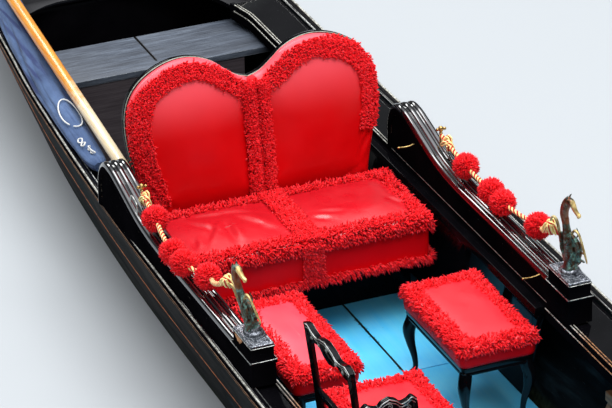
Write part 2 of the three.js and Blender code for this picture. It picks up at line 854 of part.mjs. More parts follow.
function setteeBackShell() {
  const half = backOutline(0);
  const full = [
    ...half.map(([y, z]) => [BACK_Y + y, z]),
    ...half.slice(1).reverse().map(([y, z]) => [BACK_Y - y, z]),
  ];
  const x1 = SEAT_BACK - BACK_PAD - 2 * GAP;
  const seatRoom = box(-1500, -900, -600, 700, 100, SEAT_FOOT);
  return cut(leaned(plateYZ(full, x1 - BACK_SHELL, x1)), seatRoom);
}

function setteeBackPad(side) {
  const half = backOutline(14);
  const foot = SEAT_TOP - 40;
  const cutAt = half.filter(([, z]) => z > foot + 10);
  const outline = [
    ...cutAt.map(([y, z]) => [BACK_Y + side * Math.max(y, 3), z]),
    [BACK_Y + side * 424, foot],
    [BACK_Y + side * 3, foot],
  ];
  return leaned(plateYZ(outline, SEAT_BACK - BACK_PAD - GAP, SEAT_BACK - 6));
}

// Garlands: a cord from a stud on the arm to the sea horse, strung with woollen balls.
// Each point of the path gives X, Z and how far it leans in from the cord's own plane.
const GARLAND = {
  port: {
    side: PORT,
    y: 690,
    path: [
      [-885, 636, 12],
      [-790, 630, 18],
      [-644, 620, 22],
      [-530, 617, 24],
      [-419, 620, 25],
      [-313, 620, 26],
      [-200, 618, 8],
      [-92, 622, -10],
      [0, 652, 12],
      [92, 706, 44],
      [176, 768, 68],
    ],
  },
  starboard: {
    side: STARBOARD,
    y: 556,
    path: [
      [-900, 640, 36],
      [-810, 632, 26],
      [-720, 626, 16],
      [-580, 618, -4],
      [-470, 619, -14],
      [-350, 619, -8],
      [-230, 622, 30],
      [-128, 650, 14],
      [-20, 704, -6],
      [92, 772, -20],
    ],
  },
};

// Arms: a lacquered board with a moulded rail, ending forward in a stepped pedestal.
function armLine() {
  return smoothLine(ARM_TOP, 22);
}

// The beaded section carried along a line in X and Z.
function sweepRail(path, middle) {
  const rings = path.map(([x, z], i) => {
    const [ax, az] = path[Math.max(0, i - 1)];
    const [bx, bz] = path[Math.min(path.length - 1, i + 1)];
    const long = Math.hypot(bx - ax, bz - az);
    const nx = i ? -(bz - az) / long : -1;
    const nz = i ? (bx - ax) / long : 0;
    const beads = ARM_BEADS.map(([y, h]) => [x + nx * h, middle + y, z + nz * h]);
    const [down, below] = [x - nx * ARM_RAIL, z - nz * ARM_RAIL];
    const under = [ARM_WIDE / 2, -ARM_WIDE / 2].map((y) => [down, middle + y, below]);
    return [...beads, ...under];
  });
  return loft(rings);
}

function arm({ side, middle, block }) {
  const y0 = Math.min(side * (middle - ARM_WIDE / 2), side * (middle + ARM_WIDE / 2));
  const y1 = y0 + ARM_WIDE;
  const foot = line(0, COLUMN.sheer) + (side === PORT ? 8 - DECK_DROP : 4) + GAP;
  const top = [[-1262, foot], ...armLine(), [block + 20, 558]];
  const rail = sweepRail(top, side * middle);
  const inner = side * (middle - ARM_WIDE / 2 + 4);
  const panelY = [inner, inner + side * ARM_PANEL].sort((a, b) => a - b);
  const panelTop = armLine().filter(([, z]) => z > foot + 90).map(([x, z]) => [x, z - 20]);
  const face = [[-1240, foot], ...panelTop, [block + 20, 538], [block + 20, foot]];
  const panel = plateXZ(face, panelY[0], panelY[1]);
  const pedestal = box(block, block + PEDESTAL_LONG, y0 - 3, y1 + 3, foot, 540);
  const lip = box(block - 6, block + PEDESTAL_LONG + 6, y0 - 8, y1 + 8, 538, 552);
  const head = box(block, block + PEDESTAL_LONG, y0, y1, 550, PEDESTAL_TOP);
  const cord = GARLAND[side === PORT ? "port" : "starboard"];
  const [cordX, studZ, inward] = cord.path[0];
  const studX = cordX - STUD - 1;
  const studY = side * (cord.y - inward);
  const stud = rod(
    [
      [studX, studY, studZ - 60, STUD],
      [studX, studY, studZ + 10, STUD],
      [studX, studY, studZ + 13, STUD + 3],
      [studX, studY, studZ + 24, STUD - 1],
    ],
    10,
  );
  return join(rail, panel, pedestal, lip, head, stud);
}

// A cast sea horse on its square plate, seen from the side: X, Z from the plate's middle. A fin
// on its back ends in a hook, which the garland's cord is tied to.
const SEAHORSE = [
  [-28, 0],
  [-30, 40],
  [-36, 78],
  [-48, 112],
  [-58, 146],
  [-66, 170],
  [-76, 164],
  [-88, 166],
  [-90, 184],
  [-76, 196],
  [-60, 190],
  [-50, 168],
  [-41, 158],
  [-40, 190],
  [-42, 226],
  [-34, 258],
  [-20, 280],
  [-8, 298],
  [4, 278],
  [20, 256],
  [34, 238],
  [44, 226],
  [36, 214],
  [20, 222],
  [2, 236],
  [-6, 222],
  [-4, 190],
  [8, 160],
  [22, 120],
  [32, 70],
  [32, 30],
  [28, 0],
];
function seahorse({ side, middle, block, aft, outboard, yaw, tall }) {
  const x = block + PEDESTAL_LONG / 2;
  const y = side * middle;
  const foot = PEDESTAL_TOP + GAP;
  const plate = box(x - 84, x + 84, y - 43, y + 43, foot, foot + 8);
  const plinth = rod([[x, y, foot + 4, 38], [x, y, foot + 22, 38], [x, y, foot + 30, 28]], 12);
  const outline = smoothLine(SEAHORSE, 64).map(([u, z]) => [x + u * tall, foot + 18 + z * tall]);
  const body = plateXZ(outline, y - 13, y + 13);
  body.translate(-x, -y, -foot);
  body.rotateZ(THREE.MathUtils.degToRad(yaw));
  body.rotateY(THREE.MathUtils.degToRad(-aft));
  body.rotateX(THREE.MathUtils.degToRad(-side * outboard));
  return join(plate, plinth, body.translate(x, y, foot));
}

const BALLS = {
  port: [[-644], [-419, -317], [-92]],
  starboard: [[-720], [-460, -368], [-230]],
};

function garlandCurve({ side, y, path }) {
  return new THREE.CatmullRomCurve3(
    path.map(([x, z, inward]) => new THREE.Vector3(x, side * (y - inward), z)),
    false,
    "centripetal",
  );
}

function garlandCord(garland) {
  const curve = garlandCurve(garland);
  const shape = new THREE.Shape();
  shape.absarc(0, 0, CORD / 2, 0, Math.PI * 2);
  const cord = new THREE.ExtrudeGeometry(shape, {
    steps: 32,
    curveSegments: 4,
    extrudePath: curve,
    bevelEnabled: false,
  });
  const sizes = ARM_SIDES[garland.side === PORT ? "port" : "starboard"];
  return cut(cord, seahorse(sizes).translate(-GAP, 0, 0));
}

function pointOn(curve, x) {
  const points = curve.getPoints(400);
  return points.reduce((a, b) => (Math.abs(b.x - x) < Math.abs(a.x - x) ? b : a));
}

// Balls are bored for the cord, which keeps a small gap inside them.
function pompoms(garland, places) {
  const curve = garlandCurve(garland);
  const balls = places.map((x) => {
    const ball = new THREE.SphereGeometry(POMPOM, 12, 8);
    const at = pointOn(curve, x);
    return ball.translate(at.x, at.y, at.z);
  });
  const shape = new THREE.Shape();
  shape.absarc(0, 0, CORD / 2 + 0.9, 0, Math.PI * 2);
  const bore = new THREE.ExtrudeGeometry(shape, {
    steps: 32,
    curveSegments: 4,
    extrudePath: curve,
    bevelEnabled: false,
  });
  return cut(join(...balls), bore);
}

// Chairs: each row gives the seat's box in X and Y, and where its back stands; posts are where
// its two uprights stand along the back, and top is how high they reach.
const CHAIRS = {
  chair_1: { x0: -405, x1: 165, y0: -366, y1: -112, back: null },
  chair_2: { x0: -290, x1: 232, y0: 246, y1: 544, back: null },
  chair_3: { x0: 300, x1: 745, y0: -330, y1: 46, back: "starboard", posts: [340, 710], top: 690 },
  chair_4: { x0: 850, x1: 1220, y0: -400, y1: -150, back: "aft", posts: [-375, -190], top: 592 },
};
const CHAIR_SEAT = 292;
const CHAIR_CUSHION_TOP = 384;
const CHAIR_POST = 15;
const CHAIR_RAKE = 50;
// Half of the crest rail: share of the half width, height from the posts' tops.
const CREST_TOP = [[0, 16], [0.28, 6], [0.5, -8], [0.72, -2], [0.9, 8], [1.1, -4]];
const CREST_FOOT = [[1.1, -34], [0.8, -52], [0.45, -40], [0.2, -62], [0, -70]];

function cabrioleLeg(x, y, dx, dy) {
  const rows = [
    [0, CHAIR_SEAT - 4, 21],
    [0, CHAIR_SEAT - 40, 22],
    [9, CHAIR_SEAT - 92, 19],
    [2, CHAIR_SEAT - 176, 12],
    [-2, FLOOR_TOP + 46, 10],
    [8, FLOOR_TOP + 16, 15],
    [9, FLOOR_TOP + GAP, 14],
  ];
  return rod(rows.map(([out, z, r]) => [x + dx * out, y + dy * out, z, r]), 6);
}

// A back of two raked posts, a scalloped crest and a low rail, drawn in its own plane with u
// across it and out away from the seat, then set at the seat's edge.
function chairBack({ posts: [u0, u1], top, back }, edge) {
  const mid = (u0 + u1) / 2;
  const half = (u1 - u0) / 2;
  const rake = (z) => (CHAIR_RAKE * Math.max(0, z - CHAIR_SEAT)) / (top - CHAIR_SEAT);
  const low = CHAIR_SEAT - 34;
  const at = (u, out, z) => {
    const away = out + rake(z);
    return back === "aft" ? [edge - away, u, z] : [u, edge - away, z];
  };
  const slab = (outline, ...outs) => loft(outs.map((out) => outline.map(([u, z]) => at(u, out, z))));
  const post = (u) => {
    const halfway = (CHAIR_SEAT + top) / 2;
    const rows = [[low, 15], [CHAIR_SEAT + 40, 14], [halfway, 12], [top - 30, 13], [top - 8, 11]];
    const rings = rows.map(([z, r]) => {
      return [[-r, -r], [r, -r], [r, r], [-r, r]].map(([du, dv]) => at(u + du, dv, z));
    });
    return loft(rings);
  };
  const whole = (table) => [
    ...table.slice().reverse().map(([t, h]) => [mid - half * t, top + h]),
    ...table.filter(([t]) => t > 0).map(([t, h]) => [mid + half * t, top + h]),
  ];
  const crest = slab([...whole(CREST_TOP), ...whole(CREST_FOOT.slice().reverse()).reverse()], -10, 10);
  const lowRail = slab(
    [[u0, CHAIR_SEAT + 112], [u1, CHAIR_SEAT + 112], [u1, CHAIR_SEAT + 138], [u0, CHAIR_SEAT + 138]],
    -8,
    8,
  );
  return join(post(u0), post(u1), crest, lowRail);
}

function chairFrame(row) {
  const { x0, x1, y0, y1, back } = row;
  const inset = 24;
  const rail = 34;
  const seat = box(x0 + 8, x1 - 8, y0 + 8, y1 - 8, CHAIR_SEAT - rail, CHAIR_SEAT);
  const legs = [];
  for (const [x, dx] of [[x0 + inset + 8, -1], [x1 - inset - 8, 1]]) {
    for (const [y, dy] of [[y0 + inset + 8, -1], [y1 - inset - 8, 1]]) legs.push(cabrioleLeg(x, y, dx, dy));
  }
  if (!back) return join(seat, ...legs);
  return join(seat, ...legs, chairBack(row, (back === "aft" ? x0 : y0) - 3));
}

function chairCushion({ x0, x1, y0, y1, back }) {
  const shift = back === "aft" ? CHAIR_POST : 0;
  const lift = back === "starboard" ? CHAIR_POST : 0;
  return cushion(x0 + shift, x1, y0 + lift, y1, CHAIR_SEAT + GAP, CHAIR_CUSHION_TOP, 30);
}

// The boat's own cover, rolled up on the starboard side deck under the oar.
function coverRoll() {
  const rows = [
    [-3180, -344, 566, 40, 26],
    [-3080, -348, 560, 56, 38],
    [-2700, -378, 520, 66, 44],
    [-2300, -420, 500, 66, 44],
    [-1900, -458, 488, 52, 38],
    [-1560, -476, 476, 44, 27],
    [-1480, -480, 480, 30, 24],
  ];
  const rings = rows.map(([x, y, z, a, b]) =>
    Array.from({ length: 10 }, (_, i) => {
      const turn = (i / 10) * Math.PI * 2;
      return [x, y + a * Math.cos(turn), z + b * Math.sin(turn)];
    }),
  );
  return loft(rings);
}

for (const [name, reach] of Object.entries(LENGTHS)) {
  add("hull_bottom_" + name, hullBottom(reach), TIMBER);
  add("hull_side_port_" + name, hullSide(PORT, 0, reach), LACQUER);
  add("hull_side_starboard_" + name, hullSide(STARBOARD, 0, reach), LACQUER);
}
add("stem_post", stemPost(), LACQUER);
add("stern_post", sternPost(), LACQUER);
add("fore_deck", foreDeck(), LACQUER);
add("aft_deck", aftDeck(), LACQUER);
add("side_deck_port", sideDeck(PORT), LACQUER);
add("side_deck_starboard", sideDeck(STARBOARD), LACQUER);
add("rubbing_strake_port", rubbingStrake(PORT), LACQUER);
add("rubbing_strake_starboard", rubbingStrake(STARBOARD), LACQUER);
add("lining_port", lining(PORT), LACQUER);
add("lining_starboard", lining(STARBOARD), LACQUER);
add("framing", framing(), TIMBER);
add("floor_starboard", floorBoard(STARBOARD, FLOOR_AFT, 1925, FLOOR_SEAM_Y - 2), BLUE_PAINT);
add("floor_port_aft", floorBoard(PORT, FLOOR_AFT, FLOOR_SEAM_X, FLOOR_SEAM_Y + 2), BLUE_PAINT);
add("floor_port_fore", floorBoard(PORT, FLOOR_SEAM_X + 4, 1925, FLOOR_SEAM_Y + 2), BLUE_PAINT);
add("fore_bulkhead", foreBulkhead(), LACQUER);
add("locker_door", lockerDoor(), LACQUER);
add("aft_bulkhead", crossWall(...AFT_WALL_X, 10, 462), LACQUER);
add("fore_thwart", foreThwart(), LACQUER);
add("stepping_platform", steppingPlatform(), WORN_BLACK);
add("bow_iron", bowIron(), IRON);
add("stern_iron", sternIron(), IRON);
add("forcola_block", forcolaBlock(), WALNUT);
add("forcola", forcola(), WALNUT);
add("oar", oar(), VARNISH);
add("settee_base", setteeBase(), LACQUER);
add("settee_back_shell", setteeBackShell(), LACQUER);
add("settee_back_pad_port", setteeBackPad(PORT), RED_LEATHER);
add("settee_back_pad_starboard", setteeBackPad(STARBOARD), RED_LEATHER);
add("seat_cushion_port", seatCushion(PORT), RED_LEATHER);
add("seat_cushion_starboard", seatCushion(STARBOARD), RED_LEATHER);
for (const [name, sizes] of Object.entries(ARM_SIDES)) {
  add("arm_" + name, arm(sizes), LACQUER);
  add("seahorse_" + name, seahorse(sizes), BRONZE);
  add("garland_cord_" + name, garlandCord(GARLAND[name]), GOLD_CORD);
  BALLS[name].forEach((places, i) => {
    add("pompom_" + name + "_" + (i + 1), pompoms(GARLAND[name], places), RED_PILE);
  });
}
for (const [name, sizes] of Object.entries(CHAIRS)) {
  add(name + "_frame", chairFrame(sizes), LACQUER);
  add(name + "_cushion", chairCushion(sizes), RED_LEATHER);
}
add("cover_roll", coverRoll(), CANVAS);

export default group;
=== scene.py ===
"""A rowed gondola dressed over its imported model. Metres, X forward, Y to port, Z up from the water."""
import math

import bmesh
import bpy
import numpy as np
from mathutils import Matrix, Vector


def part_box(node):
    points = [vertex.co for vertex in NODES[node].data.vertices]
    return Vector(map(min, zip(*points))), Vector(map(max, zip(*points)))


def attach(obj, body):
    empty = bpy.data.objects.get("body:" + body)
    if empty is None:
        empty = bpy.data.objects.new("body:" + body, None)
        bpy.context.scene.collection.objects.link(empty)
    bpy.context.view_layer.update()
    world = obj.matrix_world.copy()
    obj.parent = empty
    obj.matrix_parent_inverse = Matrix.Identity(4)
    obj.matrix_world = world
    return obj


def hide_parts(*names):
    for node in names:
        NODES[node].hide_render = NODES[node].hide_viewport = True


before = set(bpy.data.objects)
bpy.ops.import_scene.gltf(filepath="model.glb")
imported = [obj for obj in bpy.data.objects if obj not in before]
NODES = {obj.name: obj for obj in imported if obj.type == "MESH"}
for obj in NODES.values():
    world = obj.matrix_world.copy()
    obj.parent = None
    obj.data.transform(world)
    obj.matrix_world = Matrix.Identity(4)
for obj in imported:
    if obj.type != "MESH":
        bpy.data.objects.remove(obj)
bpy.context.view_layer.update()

MM = 0.001
SIDES = {"port": 1, "starboard": -1}
scene = bpy.context.scene
scene.view_settings.view_transform = "Standard"
scene.view_settings.look = "None"


# Camera
CAMERA_PLACE = (11.32966, -4.85234, 7.20502)
CAMERA_ANGLES = (22.152, 27.063, -1.222)
CAMERA_LENS, CAMERA_SENSOR, CAMERA_REACH = 232.79, 36, 200


def make_camera():
    turn, rise, roll = (math.radians(a) for a in CAMERA_ANGLES)
    back = Vector((math.cos(rise) * math.cos(turn), -math.cos(rise) * math.sin(turn), math.sin(rise)))
    right = Vector((0, 0, 1)).cross(back).normalized()
    up = back.cross(right)
    c, s = math.cos(roll), math.sin(roll)
    right, up = right * c + up * s, up * c - right * s
    data = bpy.data.cameras.new("camera")
    data.lens, data.sensor_width, data.clip_end = CAMERA_LENS, CAMERA_SENSOR, CAMERA_REACH
    camera = bpy.data.objects.new("camera", data)
    camera.matrix_world = Matrix((right, up, back)).transposed().to_4x4()
    camera.matrix_world.translation = CAMERA_PLACE
    scene.collection.objects.link(camera)
    scene.camera = camera


make_camera()


# Meshes
def unit(v):
    v = np.asarray(v, float)
    return v / np.maximum(np.linalg.norm(v, axis=-1, keepdims=True), 1e-12)


def spline(points, count):
    """Points at even steps of the parameter on a centripetal curve."""
    p = np.asarray(points, float)
    p = np.vstack([2 * p[0] - p[1], p, 2 * p[-1] - p[-2]])
    spans = len(p) - 3
    out = []
    for t in np.linspace(0, spans, count):
        i = min(int(t), spans - 1)
        w = t - i
        q = p[i : i + 4]
        d = np.maximum(np.sqrt(np.linalg.norm(np.diff(q[:, :3], axis=0), axis=1)), 1e-6)
        a = (q[1] - q[0]) / d[0] - (q[2] - q[0]) / (d[0] + d[1]) + (q[2] - q[1]) / d[1]
        b = (q[2] - q[1]) / d[1] - (q[3] - q[1]) / (d[1] + d[2]) + (q[3] - q[2]) / d[2]
        a, b = a * d[1], b * d[1]
        c2 = -3 * q[1] + 3 * q[2] - 2 * a - b
        c3 = 2 * q[1] - 2 * q[2] + a + b
        out.append(q[1] + a * w + c2 * w * w + c3 * w ** 3)
    return np.array(out)


def even(points, count):
    """The same line with points at equal distances along it."""
    p = np.asarray(points, float)
    far = np.concatenate([[0], np.cumsum(np.linalg.norm(np.diff(p[:, :3], axis=0), axis=1))])
    at = np.linspace(0, far[-1], count)
    return np.stack([np.interp(at, far, p[:, k]) for k in range(p.shape[1])], axis=1)


def smooth_step(t):
    t = np.clip(t, 0, 1)
    return t * t * (3 - 2 * t)


def frames(path):
    """Two directions across a path at each of its points, turning as little as they can."""
    t = unit(np.gradient(path, axis=0))
    u = np.zeros_like(path)
    ref = np.array([0, 0, 1.0]) if abs(t[0][2]) < 0.9 else np.array([1.0, 0, 0])
    u[0] = unit(np.cross(ref, t[0]))
    for i in range(1, len(path)):
        u[i] = unit(u[i - 1] - t[i] * np.dot(u[i - 1], t[i]))
    return u, np.cross(t, u)


def linked(name, mesh, material, slot=None, body="boat", replaces=()):
    """A mesh as a piece of the scene: its materials, its body and the nodes it stands for; its slot argument
    is not used.
    """
    materials = material if isinstance(material, (list, tuple)) else [material]
    for m in materials:
        mesh.materials.append(m)
    piece = bpy.data.objects.new(name, mesh)
    scene.collection.objects.link(piece)
    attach(piece, body)
    if replaces:
        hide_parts(*replaces)
    return piece


def placed(name, mesh, material, smooth=35, **rest):
    bm = bmesh.new()
    bm.from_mesh(mesh)
    bmesh.ops.recalc_face_normals(bm, faces=bm.faces)
    bm.to_mesh(mesh)
    bm.free()
    if smooth:
        mesh.shade_smooth()
        mesh.set_sharp_from_angle(angle=math.radians(smooth))
    if mesh.materials:
        mesh.materials.clear()
    return linked(name, mesh, material, **rest)


class Shape:
    """Vertices and faces of several closed bodies kept in one mesh."""

    def __init__(self):
        self.verts, self.faces, self.marks, self.count = [], [], [], 0

    def loft(self, rings, mark=0):
        rings = np.asarray(rings, float)
        r, k = rings.shape[:2]
        faces = []
        for i in range(r - 1):
            for a in range(k):
                b = (a + 1) % k
                faces.append([i * k + a, i * k + b, (i + 1) * k + b, (i + 1) * k + a])
        faces.append(list(range(k))[::-1])
        faces.append([(r - 1) * k + a for a in range(k)])
        self.verts.append(rings.reshape(-1, 3))
        self.faces += [[i + self.count for i in f] for f in faces]
        self.marks += [mark] * len(faces)
        self.count += r * k
        return self

    def tube(self, path, radius, sides=10, flat=1.0, mark=0, ends=True):
        """A round or oval rod along a path; its radius may change along it."""
        path = np.asarray(path, float)
        radius = np.broadcast_to(radius, len(path))
        u, v = frames(path)
        turn = np.linspace(0, 2 * np.pi, sides, endpoint=False)
        rings = [
            path[i] + radius[i] * (np.outer(np.cos(turn), u[i]) + flat * np.outer(np.sin(turn), v[i]))
            for i in range(len(path))
        ]
        if ends:
            rows = ((0.75, 0.5), (0.4, 0.85))
            t0, t1 = unit(path[0] - path[1]), unit(path[-1] - path[-2])
            first = [path[0] + t0 * radius[0] * h + (rings[0] - path[0]) * w for h, w in rows]
            last = [path[-1] + t1 * radius[-1] * h + (rings[-1] - path[-1]) * w for h, w in rows[::-1]]
            rings = first + rings + last
        return self.loft(rings, mark)

    def lathe(self, centre, rows, sides=32):
        turn = np.linspace(0, 2 * np.pi, sides, endpoint=False)
        c = np.asarray(centre, float)
        return self.loft(
            [c + np.stack([r * np.cos(turn), r * np.sin(turn), np.full(sides, z)], axis=1) for r, z in rows]
        )

    def globe(self, centre, radius, levels, sides):
        rows = [(math.cos(a) * radius, math.sin(a) * radius) for a in np.linspace(-1.5, 1.5, levels)]
        return self.lathe(centre, rows, sides)

    def mesh(self, name):
        mesh = bpy.data.meshes.new(name)
        mesh.from_pydata([tuple(v) for v in np.concatenate(self.verts)], [], [tuple(f) for f in self.faces])
        return mesh

    def make(self, name, material, bevel=0, **rest):
        mesh = self.mesh(name)
        mesh.polygons.foreach_set("material_index", self.marks)
        if bevel:
            round_edges(mesh, bevel)
        return placed(name, mesh, material, **rest)


def round_edges(mesh, width, segments=2):
    bm = bmesh.new()
    bm.from_mesh(mesh)
    bmesh.ops.remove_doubles(bm, verts=bm.verts, dist=2e-5)
    bmesh.ops.dissolve_limit(bm, angle_limit=math.radians(0.6), verts=bm.verts, edges=bm.edges)
    sharp = [e for e in bm.edges if e.is_manifold and e.calc_face_angle(0) > math.radians(28)]
    bmesh.ops.bevel(
        bm, geom=sharp, offset=width, segments=segments, profile=0.6, affect="EDGES", clamp_overlap=True
    )
    bmesh.ops.triangulate(bm, faces=[f for f in bm.faces if len(f.verts) > 4])
    bm.to_mesh(mesh)
    bm.free()


def eased(node, material, width):
    """The node's own shape with its edges rounded by a width in millimetres."""
    mesh = NODES[node].data.copy()
    round_edges(mesh, width * MM, 4 if node == "forcola" else 2)
    body = "locker_door" if node == "locker_door" else "boat"
    return placed(node + "_eased", mesh, material, 40, body=body, replaces=(node,))


def rounded_ring(x0, x1, y0, y1, inset, corner, pull=0.0, count=42):
    """A rectangle with round corners, its sides pulled in a little between them."""
    a, b, c, d = x0 + inset, x1 - inset, y0 + inset, y1 - inset
    r = max(min(corner, (b - a) / 2 - 1e-4, (d - c) / 2 - 1e-4), 1e-4)
    corners = []
    for cx, cy, t0 in ((b - r, d - r, 0), (a + r, d - r, 90), (a + r, c + r, 180), (b - r, c + r, 270)):
        for t in np.radians(np.linspace(t0, t0 + 90, 8)):
            corners.append([cx + r * math.cos(t), cy + r * math.sin(t)])
    corners = np.array(corners)
    ring = []
    for k, normal in enumerate(([0, 1], [-1, 0], [0, -1], [1, 0])):
        ring += list(corners[8 * k : 8 * k + 8])
        p, q = corners[8 * k + 7], corners[(8 * k + 8) % 32]
        for t in np.linspace(0, 1, count)[1:-1]:
            ring.append(p + (q - p) * t - np.array(normal) * pull * math.sin(math.pi * t))
    return np.array(ring)


def at_height(ring, z):
    return np.column_stack([ring, np.broadcast_to(z, len(ring))])


def stack(box, rows, corner):
    """Rings of a block with round corners, in millimetres: how far each is inset, and its height."""
    x0, x1, y0, y1 = (v * MM for v in box)
    return [at_height(rounded_ring(x0, x1, y0, y1, inset * MM, corner * MM), z * MM) for inset, z in rows]


STRAND_FACES = (
    (0, 1, 4), (0, 4, 3), (1, 2, 5), (1, 5, 4), (2, 0, 3),
    (2, 3, 5), (3, 4, 6), (4, 5, 6), (5, 3, 6), (2, 1, 0),
)


def tufts(name, bands, length, seed, thick, curl, fall=(0, 0, 0)):
    """Woollen strands: each is a bent, tapered three-sided rod rooted a little under the surface."""
    rng = np.random.default_rng(seed)
    roots = np.concatenate([b[0] for b in bands])
    outward = unit(np.concatenate([b[1] for b in bands]))
    n = len(roots)
    long = np.broadcast_to(length, n) * rng.uniform(0.7, 1.15, n)
    fall = np.asarray(fall, float)
    way = unit(outward + curl * rng.normal(0, 0.6, (n, 3)) + fall)
    mid = roots + way * (long * 0.66)[:, None]
    bent = unit(way + curl * 1.5 * rng.normal(0, 0.6, (n, 3)) + 1.4 * fall)
    ref = unit(rng.normal(0, 1, (n, 3)))
    u = unit(np.cross(way, ref))
    v = np.cross(way, u)
    verts = np.zeros((n, 7, 3))
    for k in range(3):
        a = 2 * np.pi * k / 3
        across = (u * math.cos(a) + v * math.sin(a)) * thick
        verts[:, k] = roots - outward * 3 * MM + across
        verts[:, 3 + k] = mid + across * 1.25
    verts[:, 6] = mid + bent * (long * 0.34)[:, None]
    faces = (np.array(STRAND_FACES)[None] + (np.arange(n) * 7)[:, None, None]).reshape(-1, 3)
    mesh = bpy.data.meshes.new(name)
    mesh.vertices.add(n * 7)
    mesh.vertices.foreach_set("co", verts.reshape(-1))
    mesh.loops.add(len(faces) * 3)
    mesh.loops.foreach_set("vertex_index", faces.reshape(-1))
    mesh.polygons.add(len(faces))
    mesh.polygons.foreach_set("loop_start", np.arange(len(faces)) * 3)
    mesh.update(calc_edges=True)
    mesh.shade_smooth()
    return linked(name, mesh, WOOL)


# Materials
def srgb(r, g, b):
    return (*(c / 3294.6 if c <= 10.31475 else ((c / 255 + 0.055) / 1.055) ** 2.4 for c in (r, g, b)), 1)


class Look:
    """A node material: a Principled surface with helpers for what drives its sockets."""

    def __init__(self, name, roughness, metal=0.0, **sockets):
        self.mat = bpy.data.materials.new(name)
        self.mat.use_nodes = True
        self.tree = self.mat.node_tree
        self.inputs = self.tree.nodes["Principled BSDF"].inputs
        for key, value in {"Roughness": roughness, "Metallic": metal, **sockets}.items():
            self.inputs[key.replace("_", " ")].default_value = value
        self.place = self.node("ShaderNodeTexCoord").outputs["Object"]

    def node(self, kind, feeds=None, **values):
        """A new node; feeds gives its inputs numbers, colours or other nodes' outputs."""
        made = self.tree.nodes.new(kind)
        for key, value in values.items():
            setattr(made, key, value)
        for key, value in (feeds or {}).items():
            if isinstance(value, bpy.types.NodeSocket):
                self.link(value, made.inputs[key])
            else:
                made.inputs[key].default_value = value
        return made

    def link(self, a, b):
        self.tree.links.new(a, b)

    def noise(self, scale, detail=3.0, rough=0.55, at=None, warp=0.0):
        feeds = {"Scale": scale, "Detail": detail, "Roughness": rough, "Distortion": warp}
        return self.node("ShaderNodeTexNoise", {**feeds, "Vector": at or self.place}).outputs["Fac"]

    def grain(self, scale, detail, rough=0.6, warp=0.0, turn=(0, 0, 0)):
        """Noise with its own scale along each axis."""
        drawn = self.node("ShaderNodeMapping", {"Scale": scale, "Rotation": turn, "Vector": self.place})
        return self.noise(1, detail, rough, drawn.outputs["Vector"], warp)

    def ramp(self, value, *stops):
        """Colours by value; each stop is its place and its red, green and blue."""
        made = self.node("ShaderNodeValToRGB")
        band = made.color_ramp
        band.elements[0].position, band.elements[1].position = stops[0][0], stops[-1][0]
        band.elements[0].color, band.elements[1].color = srgb(*stops[0][1:]), srgb(*stops[-1][1:])
        for position, *color in stops[1:-1]:
            band.elements.new(position).color = srgb(*color)
        self.link(value, made.inputs["Fac"])
        return made.outputs["Color"]

    def steps(self, value, low, high, a=0.0, b=1.0):
        feeds = {"From Min": low, "From Max": high, "To Min": a, "To Max": b, "Value": value}
        return self.node("ShaderNodeMapRange", feeds, interpolation_type="SMOOTHSTEP").outputs["Result"]

    def math(self, kind, a, b):
        return self.node("ShaderNodeMath", {0: a, 1: b}, operation=kind).outputs[0]

    def times(self, a, b):
        return self.math("MULTIPLY", a, b)

    def apart(self, a, b):
        return self.math("ABSOLUTE", self.math("SUBTRACT", a, b), 0.0)

    def mix(self, share, a, b):
        return self.node("ShaderNodeMix", {0: share, 6: a, 7: b}, data_type="RGBA").outputs[2]

    def axis(self, which, source=None):
        made = self.node("ShaderNodeSeparateXYZ", {0: source or self.place})
        return made.outputs["XYZ".index(which)]

    def geometry(self, what):
        return self.node("ShaderNodeNewGeometry").outputs[what]

    def edges(self, width):
        """1 along sharp edges, where the normal differs from the one rounded off nearby."""
        soft = self.node("ShaderNodeBevel", {"Radius": width * MM}, samples=6).outputs["Normal"]
        feeds = {0: soft, 1: self.geometry("Normal")}
        dot = self.node("ShaderNodeVectorMath", feeds, operation="DOT_PRODUCT").outputs["Value"]
        return self.steps(self.math("SUBTRACT", 1.0, dot), 0.02, 0.22)

    def mark(self, name):
        return self.node("ShaderNodeAttribute", attribute_name=name).outputs["Fac"]

    def color(self, value):
        self.link(value, self.inputs["Base Color"])

    def rough(self, value, low, high, a, b):
        self.link(self.steps(value, low, high, a, b), self.inputs["Roughness"])

    def bump(self, value, depth, strength):
        """Adds relief, its depth in millimetres."""
        made = self.node("ShaderNodeBump", {"Distance": depth * MM, "Strength": strength, "Height": value})
        for before in self.inputs["Normal"].links:
            self.link(before.from_socket, made.inputs["Normal"])
        self.link(made.outputs["Normal"], self.inputs["Normal"])


def lacquer(name, wear=0.0, wave=0.3, dust=0.1, shine=1.0):
    """Deep black gloss with dust in it, and where it is worn a few pale chips along the edges."""
    look = Look(
        name, 0.1, IOR=1.5, Coat_Weight=shine, Coat_Roughness=0.03, Coat_IOR=1.6,
        Specular_IOR_Level=0.5 * shine,
    )
    shade = look.ramp(look.noise(7, 4), (0.3, 5, 5, 7), (0.75, 13, 12, 15))
    specks = look.steps(look.noise(520, 2), 0.72, 0.80)
    shade = look.mix(look.times(specks, dust), shade, srgb(150, 150, 155))
    if wear:
        chips = look.steps(look.noise(46, 6, 0.75), 0.60 - 0.04 * wear, 0.66)
        on_edge = look.times(look.edges(2.5), chips)
        worn = look.ramp(look.noise(60, 3), (0.35, 110, 82, 58), (0.6, 206, 198, 184))
        shade = look.mix(look.times(on_edge, wear), shade, worn)
    look.color(shade)
    look.rough(look.noise(16, 5), 0.3, 0.8, 0.04, 0.15)
    look.bump(look.noise(3.2, 2), 1.0, wave)
    look.bump(look.noise(260, 2), 0.05, 0.4)
    return look.mat


